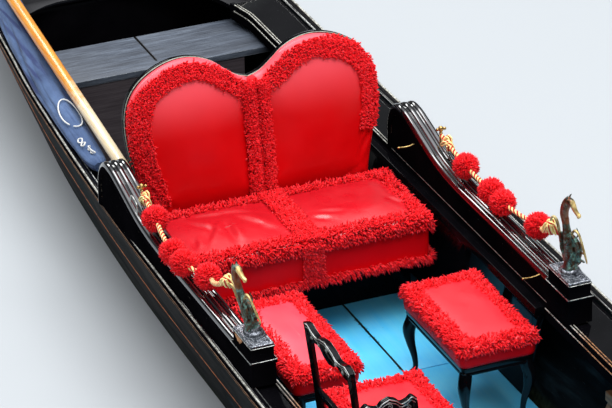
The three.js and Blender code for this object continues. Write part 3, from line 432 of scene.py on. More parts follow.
def bead_highlight_look(name, bare):
    """A bead coloured pale grey-white as a painted highlight, broken by gaps of black paint; forward it may
    be bare, worn wood.
    """
    look = Look(name, 0.4, 0.2)
    beads = look.grain((105, 130, 130), 3, 0.7)
    # Painted highlight: the pale ramp stands in for the light caught along the bead.
    pale = look.ramp(beads, (0.34, 84, 80, 70), (0.48, 172, 170, 158), (0.68, 228, 228, 220))
    shade = look.mix(look.steps(look.grain((7, 20, 20), 4), 0.36, 0.52, 0.75, 0.0), pale, srgb(46, 42, 38))
    brown = look.ramp(beads, (0.34, 74, 48, 30), (0.5, 150, 102, 62), (0.7, 206, 150, 100))
    look.color(look.mix(look.steps(look.axis("X"), 0.34, 0.5) if bare else 0.0, shade, brown))
    look.bump(beads, 0.8, 0.6)
    return look.mat


def worn_line_look():
    """Brown wood showing along an edge that gets rubbed."""
    look = Look("worn_brown_line", 0.5)
    grain = look.grain((22, 260, 260), 6, 0.7)
    brown = look.ramp(grain, (0.34, 30, 22, 16), (0.5, 112, 78, 52), (0.72, 166, 128, 92))
    gone = look.steps(look.grain((5, 16, 16), 4), 0.34, 0.46, 0.8, 0.0)
    look.color(look.mix(gone, brown, srgb(9, 9, 12)))
    look.bump(grain, 0.5, 0.5)
    return look.mat


def hull_look():
    """Black paint dulled by the weather, with blue-grey and teal patches that are painted reflection of water
    and sky, and green-brown slime at the water.
    """
    look = Look("hull_black", 0.4, IOR=1.3, Specular_IOR_Level=0.012)
    reflection_patch = look.grain((1.3, 7, 7), 5, 0.6, 0.6)
    # Painted reflection: the blue-grey and teal stops stand in for water and sky mirrored in the paint.
    shade = look.ramp(reflection_patch, (0.40, 5, 7, 8), (0.56, 12, 17, 19), (0.68, 32, 44, 48), (0.8, 56, 74, 80))
    scrape = look.steps(look.grain((16, 150, 260), 5, 0.7), 0.66, 0.74, 0.0, 0.5)
    shade = look.mix(scrape, shade, srgb(96, 104, 106))
    low = look.steps(look.axis("Z"), 0.015, 0.055, 1, 0)
    slime = look.ramp(look.noise(40, 5), (0.3, 14, 20, 15), (0.7, 46, 54, 40))
    look.color(look.mix(look.times(low, look.steps(look.noise(22, 4), 0.3, 0.5)), shade, slime))
    look.rough(reflection_patch, 0.3, 0.75, 0.3, 0.5)
    look.bump(look.noise(2.6, 2), 2.0, 0.3)
    look.bump(look.grain((8, 90, 90), 4), 0.25, 0.4)
    return look.mat


# How far to port the boards of the platform and those of the floor meet.
BOARD_JOINT, FLOOR_SEAM = 127 * MM, 262 * MM


def board_look():
    """Black boards scuffed slate grey by feet, the scuffs running athwart, their front edge chipped pale, the
    pale partly real wear and partly a painted highlight.
    """
    look = Look("worn_boards", 0.55)
    fine = look.grain((190, 7, 60), 7, 0.72)
    shade = look.ramp(fine, (0.28, 40, 44, 52), (0.5, 74, 82, 94), (0.72, 112, 122, 134))
    shade = look.mix(look.steps(look.grain((20, 2.2, 20), 4), 0.3, 0.7, 0.6, 0.0), shade, srgb(34, 37, 44))
    chips = look.steps(look.grain((150, 60, 90), 5, 0.8), 0.74, 0.80)
    shade = look.mix(chips, shade, srgb(120, 112, 100))
    # Pale along the edges: chipped paint, and also a painted highlight along the front edge.
    worn = look.times(look.edges(5), look.steps(look.noise(42, 5), 0.42, 0.55))
    shade = look.mix(worn, shade, srgb(176, 182, 184))
    joint = look.steps(look.apart(look.axis("Y"), BOARD_JOINT), 5 * MM, 7 * MM, 1, 0)
    joint = look.times(joint, look.steps(look.axis("X"), -2.50, -2.48, 1, 0))
    look.color(look.mix(joint, shade, srgb(10, 10, 12)))
    look.rough(fine, 0.3, 0.7, 0.4, 0.62)
    look.bump(fine, 0.4, 0.5)
    return look.mat


def panel_look():
    look = Look("scratched_panel", 0.4)
    fine = look.grain((60, 6, 160), 6, 0.7)
    shade = look.ramp(fine, (0.3, 60, 52, 56), (0.6, 92, 84, 88), (0.8, 122, 112, 114))
    scratch = look.steps(look.grain((12, 9, 220), 3, 0.5, turn=(0.3, 0, 0)), 0.74, 0.79, 0.0, 0.8)
    shade = look.mix(scratch, shade, srgb(136, 124, 118))
    worn = look.times(look.edges(4), look.steps(look.noise(60, 5), 0.5, 0.6))
    look.color(look.mix(worn, shade, srgb(150, 146, 140)))
    look.bump(fine, 0.4, 0.5)
    return look.mat


def blue_look():
    """Blue floor paint: brushed along the boat, chipped to grey and rust by the seams."""
    look = Look("blue_floor_paint", 0.36, Coat_Weight=0.1, Coat_Roughness=0.2)
    brush = look.grain((3, 60, 60), 5)
    patch = look.noise(3.5, 4)
    shade = look.ramp(patch, (0.3, 70, 194, 255), (0.7, 104, 220, 255))
    shade = look.mix(look.steps(brush, 0.35, 0.75, 0.0, 0.3), shade, srgb(140, 218, 248))
    scuff = look.steps(look.noise(30, 6, 0.75), 0.66, 0.76, 0.0, 0.45)
    shade = look.mix(scuff, shade, srgb(70, 104, 120))
    chips = look.times(look.edges(6), look.steps(look.noise(60, 5, 0.75), 0.46, 0.56))
    spots = look.steps(look.noise(24, 6, 0.8), 0.735, 0.75)
    rust = look.ramp(look.noise(120, 3), (0.35, 50, 54, 58), (0.65, 140, 84, 48))
    shade = look.mix(look.math("MAXIMUM", chips, spots), shade, rust)
    ragged = look.steps(look.noise(34, 6, 0.75), 0.5, 0.75, 0.0, 13 * MM)
    gap = look.math("SUBTRACT", look.apart(look.axis("Y"), FLOOR_SEAM), ragged)
    shade = look.mix(look.steps(gap, 3.5 * MM, 5.5 * MM, 1, 0), shade, srgb(20, 18, 16))
    look.color(look.mix(look.steps(look.axis("X"), -1.10, -1.06), srgb(9, 9, 12), shade))
    look.rough(patch, 0.3, 0.7, 0.28, 0.48)
    look.bump(brush, 0.25, 0.5)
    return look.mat


def leather(name, light, dark, roughness=0.34, shine=1.0, gloss=0.3, painted_sheen=0.0):
    """Red leather; the last argument sets how strongly a painted highlight, pale pink, lies on what faces up
    and on the top of the back.
    """
    look = Look(
        name, roughness, IOR=1.46, Coat_Weight=0.35 * shine, Coat_Roughness=gloss,
        Specular_IOR_Level=0.5 * shine,
    )
    shade = look.ramp(look.noise(5, 3), (0.3, *dark), (0.7, *light))
    shade = look.mix(look.steps(look.noise(30, 5, 0.6), 0.66, 0.8, 0.0, 0.25), shade, srgb(236, 72, 80))
    if painted_sheen:
        # Painted highlight: pale pink on what faces up and above 0.7 m, standing in for the sky's sheen on
        # the leather.
        facing_up = look.steps(look.axis("Z", look.geometry("Normal")), 0.55, 0.95)
        sheen_share = look.math("MAXIMUM", look.steps(look.axis("Z"), 0.7, 1.0), facing_up)
        shade = look.mix(look.times(sheen_share, painted_sheen), shade, srgb(255, 100, 112))
    look.color(shade)
    look.rough(look.noise(12, 4), 0.3, 0.7, roughness - 0.06, roughness + 0.1)
    cells = look.node("ShaderNodeTexVoronoi", {"Scale": 900, "Vector": look.place})
    look.bump(cells.outputs["Distance"], 0.10, 0.35)
    look.bump(look.noise(22, 4, 0.6), 0.5, 0.25)
    return look.mat


def pile_look():
    sheen = dict(Sheen_Weight=0.25, Sheen_Roughness=0.4, Sheen_Tint=srgb(255, 110, 110))
    look = Look("red_wool", 0.75, Specular_IOR_Level=0.2, **sheen)
    strand = look.geometry("Random Per Island")
    shade = look.ramp(strand, (0.0, 228, 11, 21), (0.5, 254, 23, 35), (1.0, 255, 62, 70))
    look.color(look.mix(look.steps(look.noise(9, 3), 0.35, 0.65, 0.0, 0.3), shade, srgb(226, 14, 26)))
    return look.mat


def canvas_look():
    """Waterproof blue-grey cloth: its paler patches are a painted highlight, its navy patches painted shade
    for the folds, both laid by noise.
    """
    look = Look("blue_cover_cloth", 0.8, Sheen_Weight=0.1, Specular_IOR_Level=0.2)
    shade = look.ramp(look.noise(5, 4), (0.3, 48, 66, 100), (0.6, 76, 98, 134), (0.8, 104, 126, 160))
    # Painted shade: navy patches standing in for shadow in the folds.
    deep = look.steps(look.grain((1.5, 26, 26), 3, 0.5, 0.4), 0.54, 0.62, 0.0, 0.7)
    look.color(look.mix(deep, shade, srgb(28, 36, 84)))
    look.bump(look.grain((700, 700, 700), 2, 0.5), 0.2, 0.4)
    look.bump(look.grain((6, 30, 30), 4, 0.6, 0.6), 7.0, 0.7)
    return look.mat


def oar_look():
    """Varnish gone orange aft and worn to pale bare wood towards the loom's fore end."""
    look = Look("varnished_oar", 0.3, Coat_Weight=0.3, Coat_Roughness=0.12)
    grain = look.grain((4, 150, 150), 6)
    varnish = look.ramp(grain, (0.3, 196, 112, 36), (0.6, 230, 156, 62), (0.8, 246, 190, 104))
    bare = look.ramp(grain, (0.3, 212, 184, 142), (0.6, 238, 220, 184), (0.85, 250, 240, 216))
    along = look.math("ADD", look.axis("X"), look.steps(look.noise(14, 4), 0.2, 0.8, -0.12, 0.12))
    shade = look.mix(look.steps(along, -2.05, -1.80), varnish, bare)
    look.color(look.mix(look.steps(look.noise(170, 4, 0.7), 0.64, 0.72, 0.0, 0.6), shade, srgb(110, 88, 66)))
    look.bump(grain, 0.3, 0.5)
    return look.mat


def iron_look():
    look = Look("polished_iron", 0.25, 1.0)
    smear = look.noise(9, 5)
    pits = look.times(look.steps(look.noise(70, 5, 0.7), 0.62, 0.72), 0.6)
    look.color(look.mix(pits, look.ramp(smear, (0.3, 168, 172, 176), (0.7, 208, 211, 214)), srgb(96, 84, 74)))
    look.rough(smear, 0.3, 0.7, 0.18, 0.38)
    look.bump(look.grain((60, 60, 400), 4), 0.1, 0.3)
    return look.mat


def bronze_look():
    """Dark verdigris bronze, rubbed to pale gold where it is touched."""
    look = Look("verdigris_bronze", 0.45, 0.75)
    patch = look.noise(55, 5, 0.65)
    dark, brown, green = (0.30, 40, 30, 26), (0.42, 92, 62, 44), (0.52, 70, 84, 76)
    shade = look.ramp(patch, dark, brown, green, (0.62, 110, 150, 136), (0.75, 60, 64, 60))
    shade = look.mix(look.steps(look.mark("copper"), 0.2, 0.8, 0.0, 0.8), shade, srgb(134, 76, 48))
    rubbed = look.times(look.mark("rubbed"), look.steps(patch, 0.2, 0.45, 0.6, 1.0))
    look.color(look.mix(rubbed, shade, srgb(226, 196, 128)))
    look.rough(patch, 0.35, 0.7, 0.3, 0.6)
    look.link(look.steps(patch, 0.4, 0.65, 0.9, 0.35), look.inputs["Metallic"])
    look.bump(look.noise(160, 4, 0.6), 0.5, 0.5)
    return look.mat


def grained(name, roughness, scale, stops, detail=6, rough=0.65, warp=0.0, bump=(0.3, 0.5), **sockets):
    """Wood or cast metal whose one grain gives both its colour and its relief."""
    look = Look(name, roughness, **sockets)
    if isinstance(scale, tuple):
        grain = look.grain(scale, detail, rough, warp)
    else:
        grain = look.noise(scale, detail, rough, warp=warp)
    look.color(look.ramp(grain, *stops))
    if bump:
        look.bump(grain, *bump)
    return look.mat


def cord_look():
    """Metal thread wound round the strand."""
    look = Look("gold_cord", 0.45, 0.1, Sheen_Weight=0.2)
    stops = (0.3, 222, 186, 92), (0.5, 250, 232, 150), (0.75, 255, 248, 196)
    look.color(look.ramp(look.noise(300, 3), *stops))
    look.bump(look.noise(700, 2), 0.4, 0.6)
    return look.mat


def plain(name, light, dark, roughness, metal=0.0, scale=60, depth=0.2):
    look = Look(name, roughness, metal)
    wear = look.noise(scale, 5, 0.6)
    look.color(look.ramp(wear, (0.3, *dark), (0.7, *light)))
    look.rough(wear, 0.3, 0.7, roughness - 0.08, roughness + 0.1)
    look.bump(wear, depth, 0.4)
    return look.mat


SEAM_STOPS = (0.34, 40, 26, 18), (0.46, 160, 88, 44), (0.62, 204, 122, 66), (0.8, 150, 130, 112)
TIMBER_STOPS = (0.3, 70, 46, 28), (0.6, 122, 86, 54), (0.8, 150, 112, 74)
WALNUT_STOPS = (0.3, 52, 30, 18), (0.6, 104, 64, 38), (0.8, 140, 92, 58)
PEWTER_STOPS = (0.35, 40, 42, 48), (0.5, 112, 116, 124), (0.65, 196, 200, 206)

LACQUER = lacquer("black_lacquer")
WORN_LACQUER = lacquer("black_lacquer_worn", 1.0, 0.3, 0.3)
CHAIR_BLACK = lacquer("chair_black", 0.6, 0.3, 0.2, 0.12)
DULL_BLACK = lacquer("black_paint", 0.7, 0.3, 0.3, 0.05)
FLAT_BLACK = lacquer("flat_black_paint", 0.7, 0.3, 0.3, 0.0)
DECK_BLACK = lacquer("deck_black", 0.5, 0.4, 0.5, 0.30)
# Beads coloured pale as a painted highlight; the lip beads turn to worn bare wood forward.
BEAD_HIGHLIGHT = bead_highlight_look("bead_painted_highlight", False)
LIP_BEAD_HIGHLIGHT_AND_WEAR = bead_highlight_look("lip_bead_painted_highlight_and_wear", True)
WORN_LINE = worn_line_look()
HULL = hull_look()
SEAM = grained("bare_seam", 0.55, (30, 200, 200), SEAM_STOPS, 5, 0.7, bump=None)
BOARDS = board_look()
PANEL = panel_look()
TIMBER = grained("bare_timber", 0.7, (5, 120, 120), TIMBER_STOPS, bump=(0.5, 0.6))
BLUE = blue_look()
LEATHER = leather("red_leather", (216, 5, 12), (206, 3, 9), shine=0.45, painted_sheen=0.85)
SEAT_LEATHER = leather("red_leather_seat", (200, 24, 36), (188, 16, 28), 0.3, 1.0, 0.18)
DARK_LEATHER = leather("red_leather_front", (222, 3, 16), (204, 2, 11), 0.5, 0.12)
# Chair 1's leather is a paler pink than the other chairs' as a painted sheen.
SHEEN_PINK_LEATHER = leather("red_leather_painted_sheen", (250, 70, 86), (244, 54, 70), 0.4)
CORAL_LEATHER = leather("red_leather_chair", (246, 30, 44), (238, 20, 34), 0.4)
WOOL = pile_look()
CANVAS = canvas_look()
OAR_WOOD = oar_look()
WALNUT = grained("oiled_walnut", 0.4, (90, 90, 9), WALNUT_STOPS, warp=1.2, Coat_Weight=0.2)
IRON = iron_look()
BRONZE = bronze_look()
PEWTER = grained("cast_pewter", 0.34, 95, PEWTER_STOPS, 5, 0.6, 1.5, (1.6, 0.9), metal=0.9)
GOLD = cord_look()
RED_YARN = plain("red_yarn", (224, 20, 34), (170, 8, 20), 0.7, 0.0, 400)
BRASS = plain("worn_brass", (214, 184, 122), (150, 116, 66), 0.3, 1.0)
# Silvering on the bracket, and the painted highlight lines on the gunwale, pedestals and chair crests.
SILVER_AND_HIGHLIGHT = plain("silvering_and_painted_highlight", (206, 208, 204), (120, 122, 118), 0.3, 0.85, 45)
RIM = plain("pale_rim", (178, 190, 176), (104, 118, 106), 0.45, 0.3, 90)
ROPE = plain("white_rope", (232, 232, 228), (190, 190, 188), 0.7, 0.0, 300)
BARE_WOOD = plain("bare_wood", (206, 148, 92), (140, 86, 46), 0.65, 0.0, 70, 0.8)


# Garlands: a twisted cord from the stud on each arm to the sea horse, with woollen balls.
# Each line starts from a distance to the side; its points give X, Z and how far inboard of that it lies.
GARLAND = {
    "port": (690, [
        [-885, 636, 12], [-790, 630, 18], [-644, 620, 22], [-530, 617, 24], [-419, 620, 25], [-313, 620, 26],
        [-200, 618, 8], [-92, 622, -10], [0, 652, 12], [92, 706, 44], [176, 768, 68],
    ]),
    "starboard": (556, [
        [-900, 640, 36], [-810, 632, 26], [-720, 626, 16], [-580, 618, -4], [-470, 619, -14], [-350, 619, -8],
        [-230, 622, 30], [-128, 650, 14], [-20, 704, -6], [92, 772, -20],
    ]),
}
BALLS = {"port": [[-644], [-419, -317], [-92]], "starboard": [[-720], [-460, -368], [-230]]}
BALL, BALL_STRANDS, BALL_PILE = 53 * MM, 1200, 25 * MM
CORD_THICK = 18 * MM
CORD_PITCH = 43 * MM
# Each strand's distance from the cord's middle, thickness and material, and where round it the two start.
CORD_STRANDS = ((5.2 * MM, 4.0 * MM, 0, (0, 0.5)), (6.2 * MM, 2.7 * MM, 1, (0.25, 0.75)))
# Where each aft knot sits along the cord, and how far the knots reach along X, Y and Z.
AFT_KNOTS = {"port": (-818, (27, 13, 17)), "starboard": (-862, (22, 12, 16))}
FORE_KNOTS = {"port": ((-16, 2, -16), (23, 17, 21)), "starboard": ((-14, 2, -8), (19, 14, 15))}


def garland_line(side):
    y, rows = GARLAND[side]
    return spline([[x * MM, SIDES[side] * (y - inward) * MM, z * MM] for x, z, inward in rows], 400)


def nearest(line, x):
    return line[np.argmin(np.abs(line[:, 0] - x * MM))]


def twisted_cord(side):
    """Two gold strands wound round a red core, with a red yarn in each groove between them."""
    line = even(garland_line(side), 760)
    far = np.concatenate([[0], np.cumsum(np.linalg.norm(np.diff(line, axis=0), axis=1))])
    u, v = frames(line)
    shape = Shape()
    for off, thick, mark, turns in CORD_STRANDS:
        for start in turns:
            turn = 2 * np.pi * (far / CORD_PITCH + start) + 0.25 * np.sin(far * 70)
            out = off * (1 + 0.10 * np.sin(far * 150 + 6 * start))
            path = line + u * (out * np.cos(turn))[:, None] + v * (out * np.sin(turn))[:, None]
            shape.tube(path, thick, 6, mark=mark)
    shape.tube(line[::4], CORD_THICK * 0.22, 6, mark=1)
    piece = shape.make("cord_" + side, [GOLD, RED_YARN], replaces=("garland_cord_" + side,), smooth=60)
    return piece, line


def ball(side, number, places):
    """Woollen strands standing out all round one ball or a pair, each with a core under them."""
    line = garland_line(side)
    rng = np.random.default_rng(900 + number + (40 if side == "port" else 0))
    bands, core = [], Shape()
    for x in places:
        centre = nearest(line, x)
        way = unit(rng.normal(0, 1, (BALL_STRANDS, 3)))
        bands.append((centre + way * (BALL - 24 * MM), way))
        core.globe(centre, BALL - 20 * MM, 9, 18)
    piece = tufts("ball_%s_%d" % (side, number), bands, BALL_PILE, 77 + number, 2.4 * MM, 0.30)
    bm = bmesh.new()
    bm.from_mesh(piece.data)
    bm.from_mesh(core.mesh("core"))
    bm.to_mesh(piece.data)
    bm.free()
    piece.data.shade_smooth()
    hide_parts("pompom_%s_%d" % (side, number))
    return piece


def knot(name, centre, reach, lie=0.0):
    """The cord's end passed round and through itself: loops of gold thread over red yarn."""
    t = np.linspace(0, 2 * np.pi, 190)
    path = np.stack([np.sin(2 * t + 0.7), np.sin(3 * t), np.sin(5 * t + 1.9)], axis=1) * np.array(reach) * MM
    path = path @ np.array(Matrix.Rotation(lie, 3, "Y")).T
    shape = Shape()
    for apart in (-4.2, 4.2):
        shape.tube(centre + path + np.array([0.5 * apart, apart, 0.6 * apart]) * MM, 3.3 * MM, 6)
    shape.tube(centre + path * 1.10, 2.4 * MM, 6, mark=1)
    return shape.make(name, [GOLD, RED_YARN], smooth=60)


for side in SIDES:
    strung = [ball(side, i + 1, places) for i, places in enumerate(BALLS[side])]
    rope, line = twisted_cord(side)
    off, reach = FORE_KNOTS[side]
    strung.append(knot("knot_fore_" + side, line[-1] + np.array(off) * MM, reach))
    x, reach = AFT_KNOTS[side]
    strung.append(knot("knot_aft_" + side, nearest(line, x), reach, 0.3))


# Hull
PLANK = 24 * MM
# The joints between a side's three planks, as shares of its height; a worn line runs along the upper one.
GROOVES = (0.335, 0.64)
# The strake's section: how far out of the planks' top edge and above it.
STRAKE = [
    (-4, 4), (2, 4.5), (9, 4), (14, 1), (17, -5), (18, -12), (16, -17), (12, -18.5), (11, -21), (14, -24),
    (16, -29), (15, -35), (10, -39), (2, -40), (-4, -40),
]
RAIL_CAP = [(-1, 0.5), (-2, 3), (-5, 4.4), (-12, 4.6), (-18, 4), (-20, 1), (-24, 0.8), (-25, 0)]
FORE_DECK_ENDS = (1.928, 4.985)
FORE_DECK_CROWN = [[1950, 62], [3100, 80], [4300, 52], [4985, 14]]


def hull_lines(side):
    """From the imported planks: stations, and the outer face's distance and height at four levels."""
    nodes = (NODES["hull_side_%s_%s" % (side, length)] for length in ("aft", "mid", "fore"))
    co = np.array([tuple(v.co) for node in nodes for v in node.data.vertices])
    key = np.round(co[:, 0] * 1000).astype(int)
    stations, rows = [], []
    for x in sorted(set(key)):
        at = co[key == x]
        picked = []
        for z in sorted(set(np.round(at[:, 2] * 1000).astype(int))):
            if picked and z - picked[-1][1] * 1000 < 2:
                continue
            here = at[np.abs(at[:, 2] * 1000 - z) < 2]
            picked.append([np.abs(here[:, 1]).max(), z / 1000])
        if len(picked) == 4:
            stations.append(x / 1000)
            rows.append(picked)
    return np.array(stations), np.array(rows)


def through(x, xs, ys):
    """Smooth curve through points, with no overshoot where they run straight."""
    h = np.diff(xs)
    d = np.diff(ys, axis=0) / h[:, None, None]
    m = np.zeros_like(ys)
    w = (h[1:] / (h[1:] + h[:-1]))[:, None, None]
    m[1:-1] = w * d[:-1] + (1 - w) * d[1:]
    m[0], m[-1] = d[0], d[-1]
    i = np.clip(np.searchsorted(xs, x) - 1, 0, len(h) - 1)
    t = ((x - xs[i]) / h[i])[:, None, None]
    hh = h[i][:, None, None]
    return (
        (2 * t ** 3 - 3 * t ** 2 + 1) * ys[i]
        + (t ** 3 - 2 * t ** 2 + t) * hh * m[i]
        + (3 * t ** 2 - 2 * t ** 3) * ys[i + 1]
        + (t ** 3 - t ** 2) * hh * m[i + 1]
    )


LINES = {side: hull_lines(side) for side in SIDES}
LEVELS = np.array([0, 0.34, 0.68, 1])


def section(side, x, t):
    """Distance from the middle plane and height of the planks' outer face, at shares t of its height."""
    at = through(np.atleast_1d(np.asarray(x, float)), *LINES[side])
    terms = np.einsum("ij,sjk->sik", np.linalg.inv(np.vander(LEVELS, 4)), at)
    return np.einsum("ti,sik->stk", np.vander(np.atleast_1d(t), 4), terms)


def outer_half(side, x, z):
    """Half-breadth of the planks' outer face at a height."""
    s = section(side, x, np.linspace(0, 1, 60))[0]
    return float(np.interp(z, s[:, 1], s[:, 0]))


def sheer(x):
    return float(section("port", x, 1.0)[0, 0, 1])


def planking(side):
    """One side's three planks, with the joints between them drawn in."""
    sign = SIDES[side]
    xs = np.unique(np.concatenate([np.arange(-5.18, 5.08, 0.07), [5.08]]))
    t, dent = [], []
    edges = [0, *GROOVES, 1]
    for i in range(3):
        a, b = edges[i], edges[i + 1]
        t += list(np.linspace(a + (0.006 if i else 0), b - (0.006 if i < 2 else 0), 6))
        dent += [0] * 6
        if i < 2:
            t.append(b)
            dent.append(4 * MM)
    rings = []
    for x, row in zip(xs, section(side, xs, np.array(t))):
        outer = [[x, sign * (y - d), z] for (y, z), d in zip(row, dent)]
        inner = [[x, sign * (y - PLANK), z] for y, z in row[[0, 5, 12, -1]]]
        rings.append(outer + inner[::-1])
    names = ["hull_side_%s_%s" % (side, n) for n in ("aft", "mid", "fore")]
    Shape().loft(rings).make("planks_" + side, HULL, replaces=names, smooth=32)


def wale_line(side):
    """The worn line of bare wood along the joint under the top plank."""
    xs = np.arange(-4.5, 4.4, 0.05)
    s = section(side, xs, np.array([GROOVES[1]]))[:, 0]
    path = [[x, SIDES[side] * (y - 0.8 * MM), z] for x, (y, z) in zip(xs, s)]
    rough = np.random.default_rng(5).uniform(0, 1, len(xs) + 6)
    radius = 2.6 * MM * (0.75 + 0.5 * np.convolve(rough, np.ones(7) / 7, "valid"))
    Shape().tube(path, radius, 6).make("wale_line_" + side, SEAM)


def strake(side):
    """The moulding along the sheer: a rounded top, a step and a hollow under it, rubbed along two edges."""
    xs = np.arange(-5.15, 5.051, 0.06)
    s = section(side, xs, np.array([0.9, 1.0]))

    def at(row, w, h):
        (y0, z0), (y1, z1) = row
        slope = (y1 - y0) / (z1 - z0)
        return SIDES[side] * (y1 + slope * h * MM + w * MM - 1 * MM), z1 + h * MM

    def along(w, h):
        return np.array([[x, *at(row, w, h)] for x, row in zip(xs, s)])

    rings = [[[x, *at(row, w, h)] for w, h in STRAKE] for x, row in zip(xs, s)]
    Shape().loft(rings).make("strake_" + side, FLAT_BLACK, replaces=("rubbing_strake_" + side,), smooth=50)
    lines = Shape().tube(along(16.6, -8), 2.6 * MM, 6).tube(along(14.8, -29), 2.0 * MM, 6)
    lines.make("strake_lines_" + side, WORN_LINE)
    # The pale bead along the top is a painted highlight.
    Shape().tube(along(4, 4.2), 4.4 * MM, 8).make("gunwale_bead_" + side, BEAD_HIGHLIGHT, smooth=60)


def gunwale_cap(side):
    """The rail laid over the planks' top edge, with a fine silver line along its inner edge that is a painted
    highlight.
    """
    sign = SIDES[side]
    xs = np.arange(-5.0, 4.95, 0.06)
    top = list(zip(xs, section(side, xs, np.array([1.0]))[:, 0]))
    rings = [[[x, sign * (y + w * MM), z + h * MM] for w, h in RAIL_CAP] for x, (y, z) in top]
    Shape().loft(rings).make("gunwale_" + side, DECK_BLACK, smooth=50)
    # Painted highlight: a thin silver tube along the inner edge.
    path = [[x, sign * (y - 21 * MM), z + 2.4 * MM] for x, (y, z) in top]
    Shape().tube(path, 2.0 * MM, 6).make("gunwale_highlight_line_" + side, SILVER_AND_HIGHLIGHT, smooth=60)


def fore_deck():
    """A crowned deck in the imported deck's place, with the planks' joints drawn in."""
    x0, x1 = FORE_DECK_ENDS
    crown = np.array(FORE_DECK_CROWN) * MM
    joints = np.array([-0.55, -0.1, 0.1, 0.55])
    t = np.unique(np.concatenate([np.linspace(-1, 1, 33), joints, joints - 0.012, joints + 0.012]))
    rings = []
    for x in np.unique(np.append(np.arange(x0, x1, 0.05), x1)):
        edge = sheer(x) - 10 * MM
        port, starboard = (outer_half(side, x, edge) for side in SIDES)
        half = np.where(t < 0, starboard, port) - PLANK - 0.5 * MM
        z = edge + np.interp(x, *crown.T) * (1 - t * t) - np.isin(t, joints) * 1.6 * MM
        top = np.stack([np.full(len(t), x), t * half, z], axis=1)
        under = top - [0, 0, 18 * MM]
        rings.append(np.vstack([top, under[::-1]]))
    Shape().loft(rings).make("fore_deck_planks", DECK_BLACK, replaces=("fore_deck",), smooth=25)


for side in SIDES:
    planking(side)
    wale_line(side)
    strake(side)
    gunwale_cap(side)
fore_deck()

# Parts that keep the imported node's shape, with how far in millimetres their edges are rounded.
EASED = (
    (DECK_BLACK, 1.6, "aft_deck"),
    ([DECK_BLACK, FLAT_BLACK], 2.2, "side_deck_port side_deck_starboard fore_thwart"),
    (DULL_BLACK, 2.2, "lining_port lining_starboard stem_post stern_post"),
    (DULL_BLACK, 2.2, "fore_bulkhead aft_bulkhead settee_base"),
    (LACQUER, 1.5, "locker_door"),
    (TIMBER, 2, "framing hull_bottom_aft hull_bottom_mid hull_bottom_fore"),
    (BLUE, 1.8, "floor_starboard floor_port_aft floor_port_fore"),
    (IRON, 2.2, "bow_iron stern_iron"),
    (WALNUT, 3, "forcola_block"),
    (WALNUT, 5, "forcola"),
    ([BOARDS, PANEL], 2.5, "stepping_platform"),
)
for material, width, nodes in EASED:
    for node in nodes.split():
        piece = eased(node, material, width)
        if node == "stepping_platform":
            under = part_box(node)[1][2] - 26 * MM
            for face in piece.data.polygons:
                face.material_index = int(face.center.x > -2.45 and face.center.z < under)
        elif isinstance(material, list):
            for face in piece.data.polygons:
                face.material_index = int(abs(face.normal.z) < 0.5)


# Settee
BACK_Y = 37 * MM
SEAT_FRONT, SEAT_BACK, SEAT_TOP, SEAT_FOOT = -655 * MM, -1092 * MM, 438 * MM, 256 * MM
BACK_TILT = math.radians(9)
BACK_PAD, BACK_SHELL = 74.3 * MM, 22 * MM
# Half of the back's outline, from the dip between the lobes round to the foot: out and up.
BACK_HALF = [
    [0, 884], [48, 900], [100, 936], [145, 972], [200, 996], [262, 1006], [325, 998], [390, 973], [445, 936],
    [485, 885], [505, 820], [508, 740], [498, 650], [478, 560], [452, 440], [438, 246],
]
LOBE_C = np.array([232, 690]) * MM
LOBE_FOOT = 398
# Creases in the leather: two ends across the lobe and up, width, depth.
LOBE_CREASES = {
    "port": [(456, 600, 396, 500, 9, 7), (440, 650, 405, 560, 8, 5), (424, 480, 330, 425, 10, 4)],
    "starboard": [(458, 620, 392, 520, 9, 8), (444, 510, 335, 420, 10, 9), (456, 566, 410, 490, 8, 7)],
}
LOBE_STRANDS, MIDDLE_STRANDS = 4700, 2100


def lean(points):
    """Tilts points aft about the seat's rear edge."""
    return lean_way(np.array(points, float) - [SEAT_BACK, 0, SEAT_TOP]) + [SEAT_BACK, 0, SEAT_TOP]


def lean_way(ways):
    w = np.array(ways, float)
    c, s = math.cos(BACK_TILT), math.sin(BACK_TILT)
    x, z = w[..., 0].copy(), w[..., 2].copy()
    w[..., 0], w[..., 2] = x * c - z * s, x * s + z * c
    return w


def back_half(inset):
    p = even(spline(np.array(BACK_HALF) * MM, 300), 150)
    y = np.where(p[:, 0] > 20 * MM, p[:, 0] - inset, p[:, 0])
    return np.stack([np.maximum(y, 0), p[:, 1] - 0.8 * inset], axis=1)


def back_shell():
    half = back_half(0)
    full = np.vstack([half, half[:0:-1] * [-1, 1]])
    x1 = SEAT_BACK - BACK_PAD - 0.3 * MM
    keep = full[full[:, 1] > SEAT_FOOT + 12 * MM]
    rings = []
    for behind, inset in ((BACK_SHELL, 3), (BACK_SHELL - 2 * MM, 0.8), (3 * MM, 0), (0.5 * MM, 1.5)):
        y = keep[:, 0] - np.sign(keep[:, 0]) * inset * MM
        rings.append(lean([[x1 - behind, BACK_Y + a, z - 0.6 * inset * MM] for a, z in zip(y, keep[:, 1])]))
    Shape().loft(rings).make("settee_shell", DULL_BLACK, replaces=("settee_back_shell",))
    edge = full[full[:, 1] > SEAT_FOOT + 160 * MM]
    start = int(np.argmax(np.linalg.norm(np.diff(np.vstack([edge, edge[:1]]), axis=0), axis=1))) + 1
    edge = np.roll(edge, -start, axis=0)
    path = lean([[x1 + 2 * MM, BACK_Y + y * 0.994, z - 3 * MM] for y, z in edge])
    Shape().tube(path, 2.2 * MM, 8).make("settee_shell_rim", RIM)


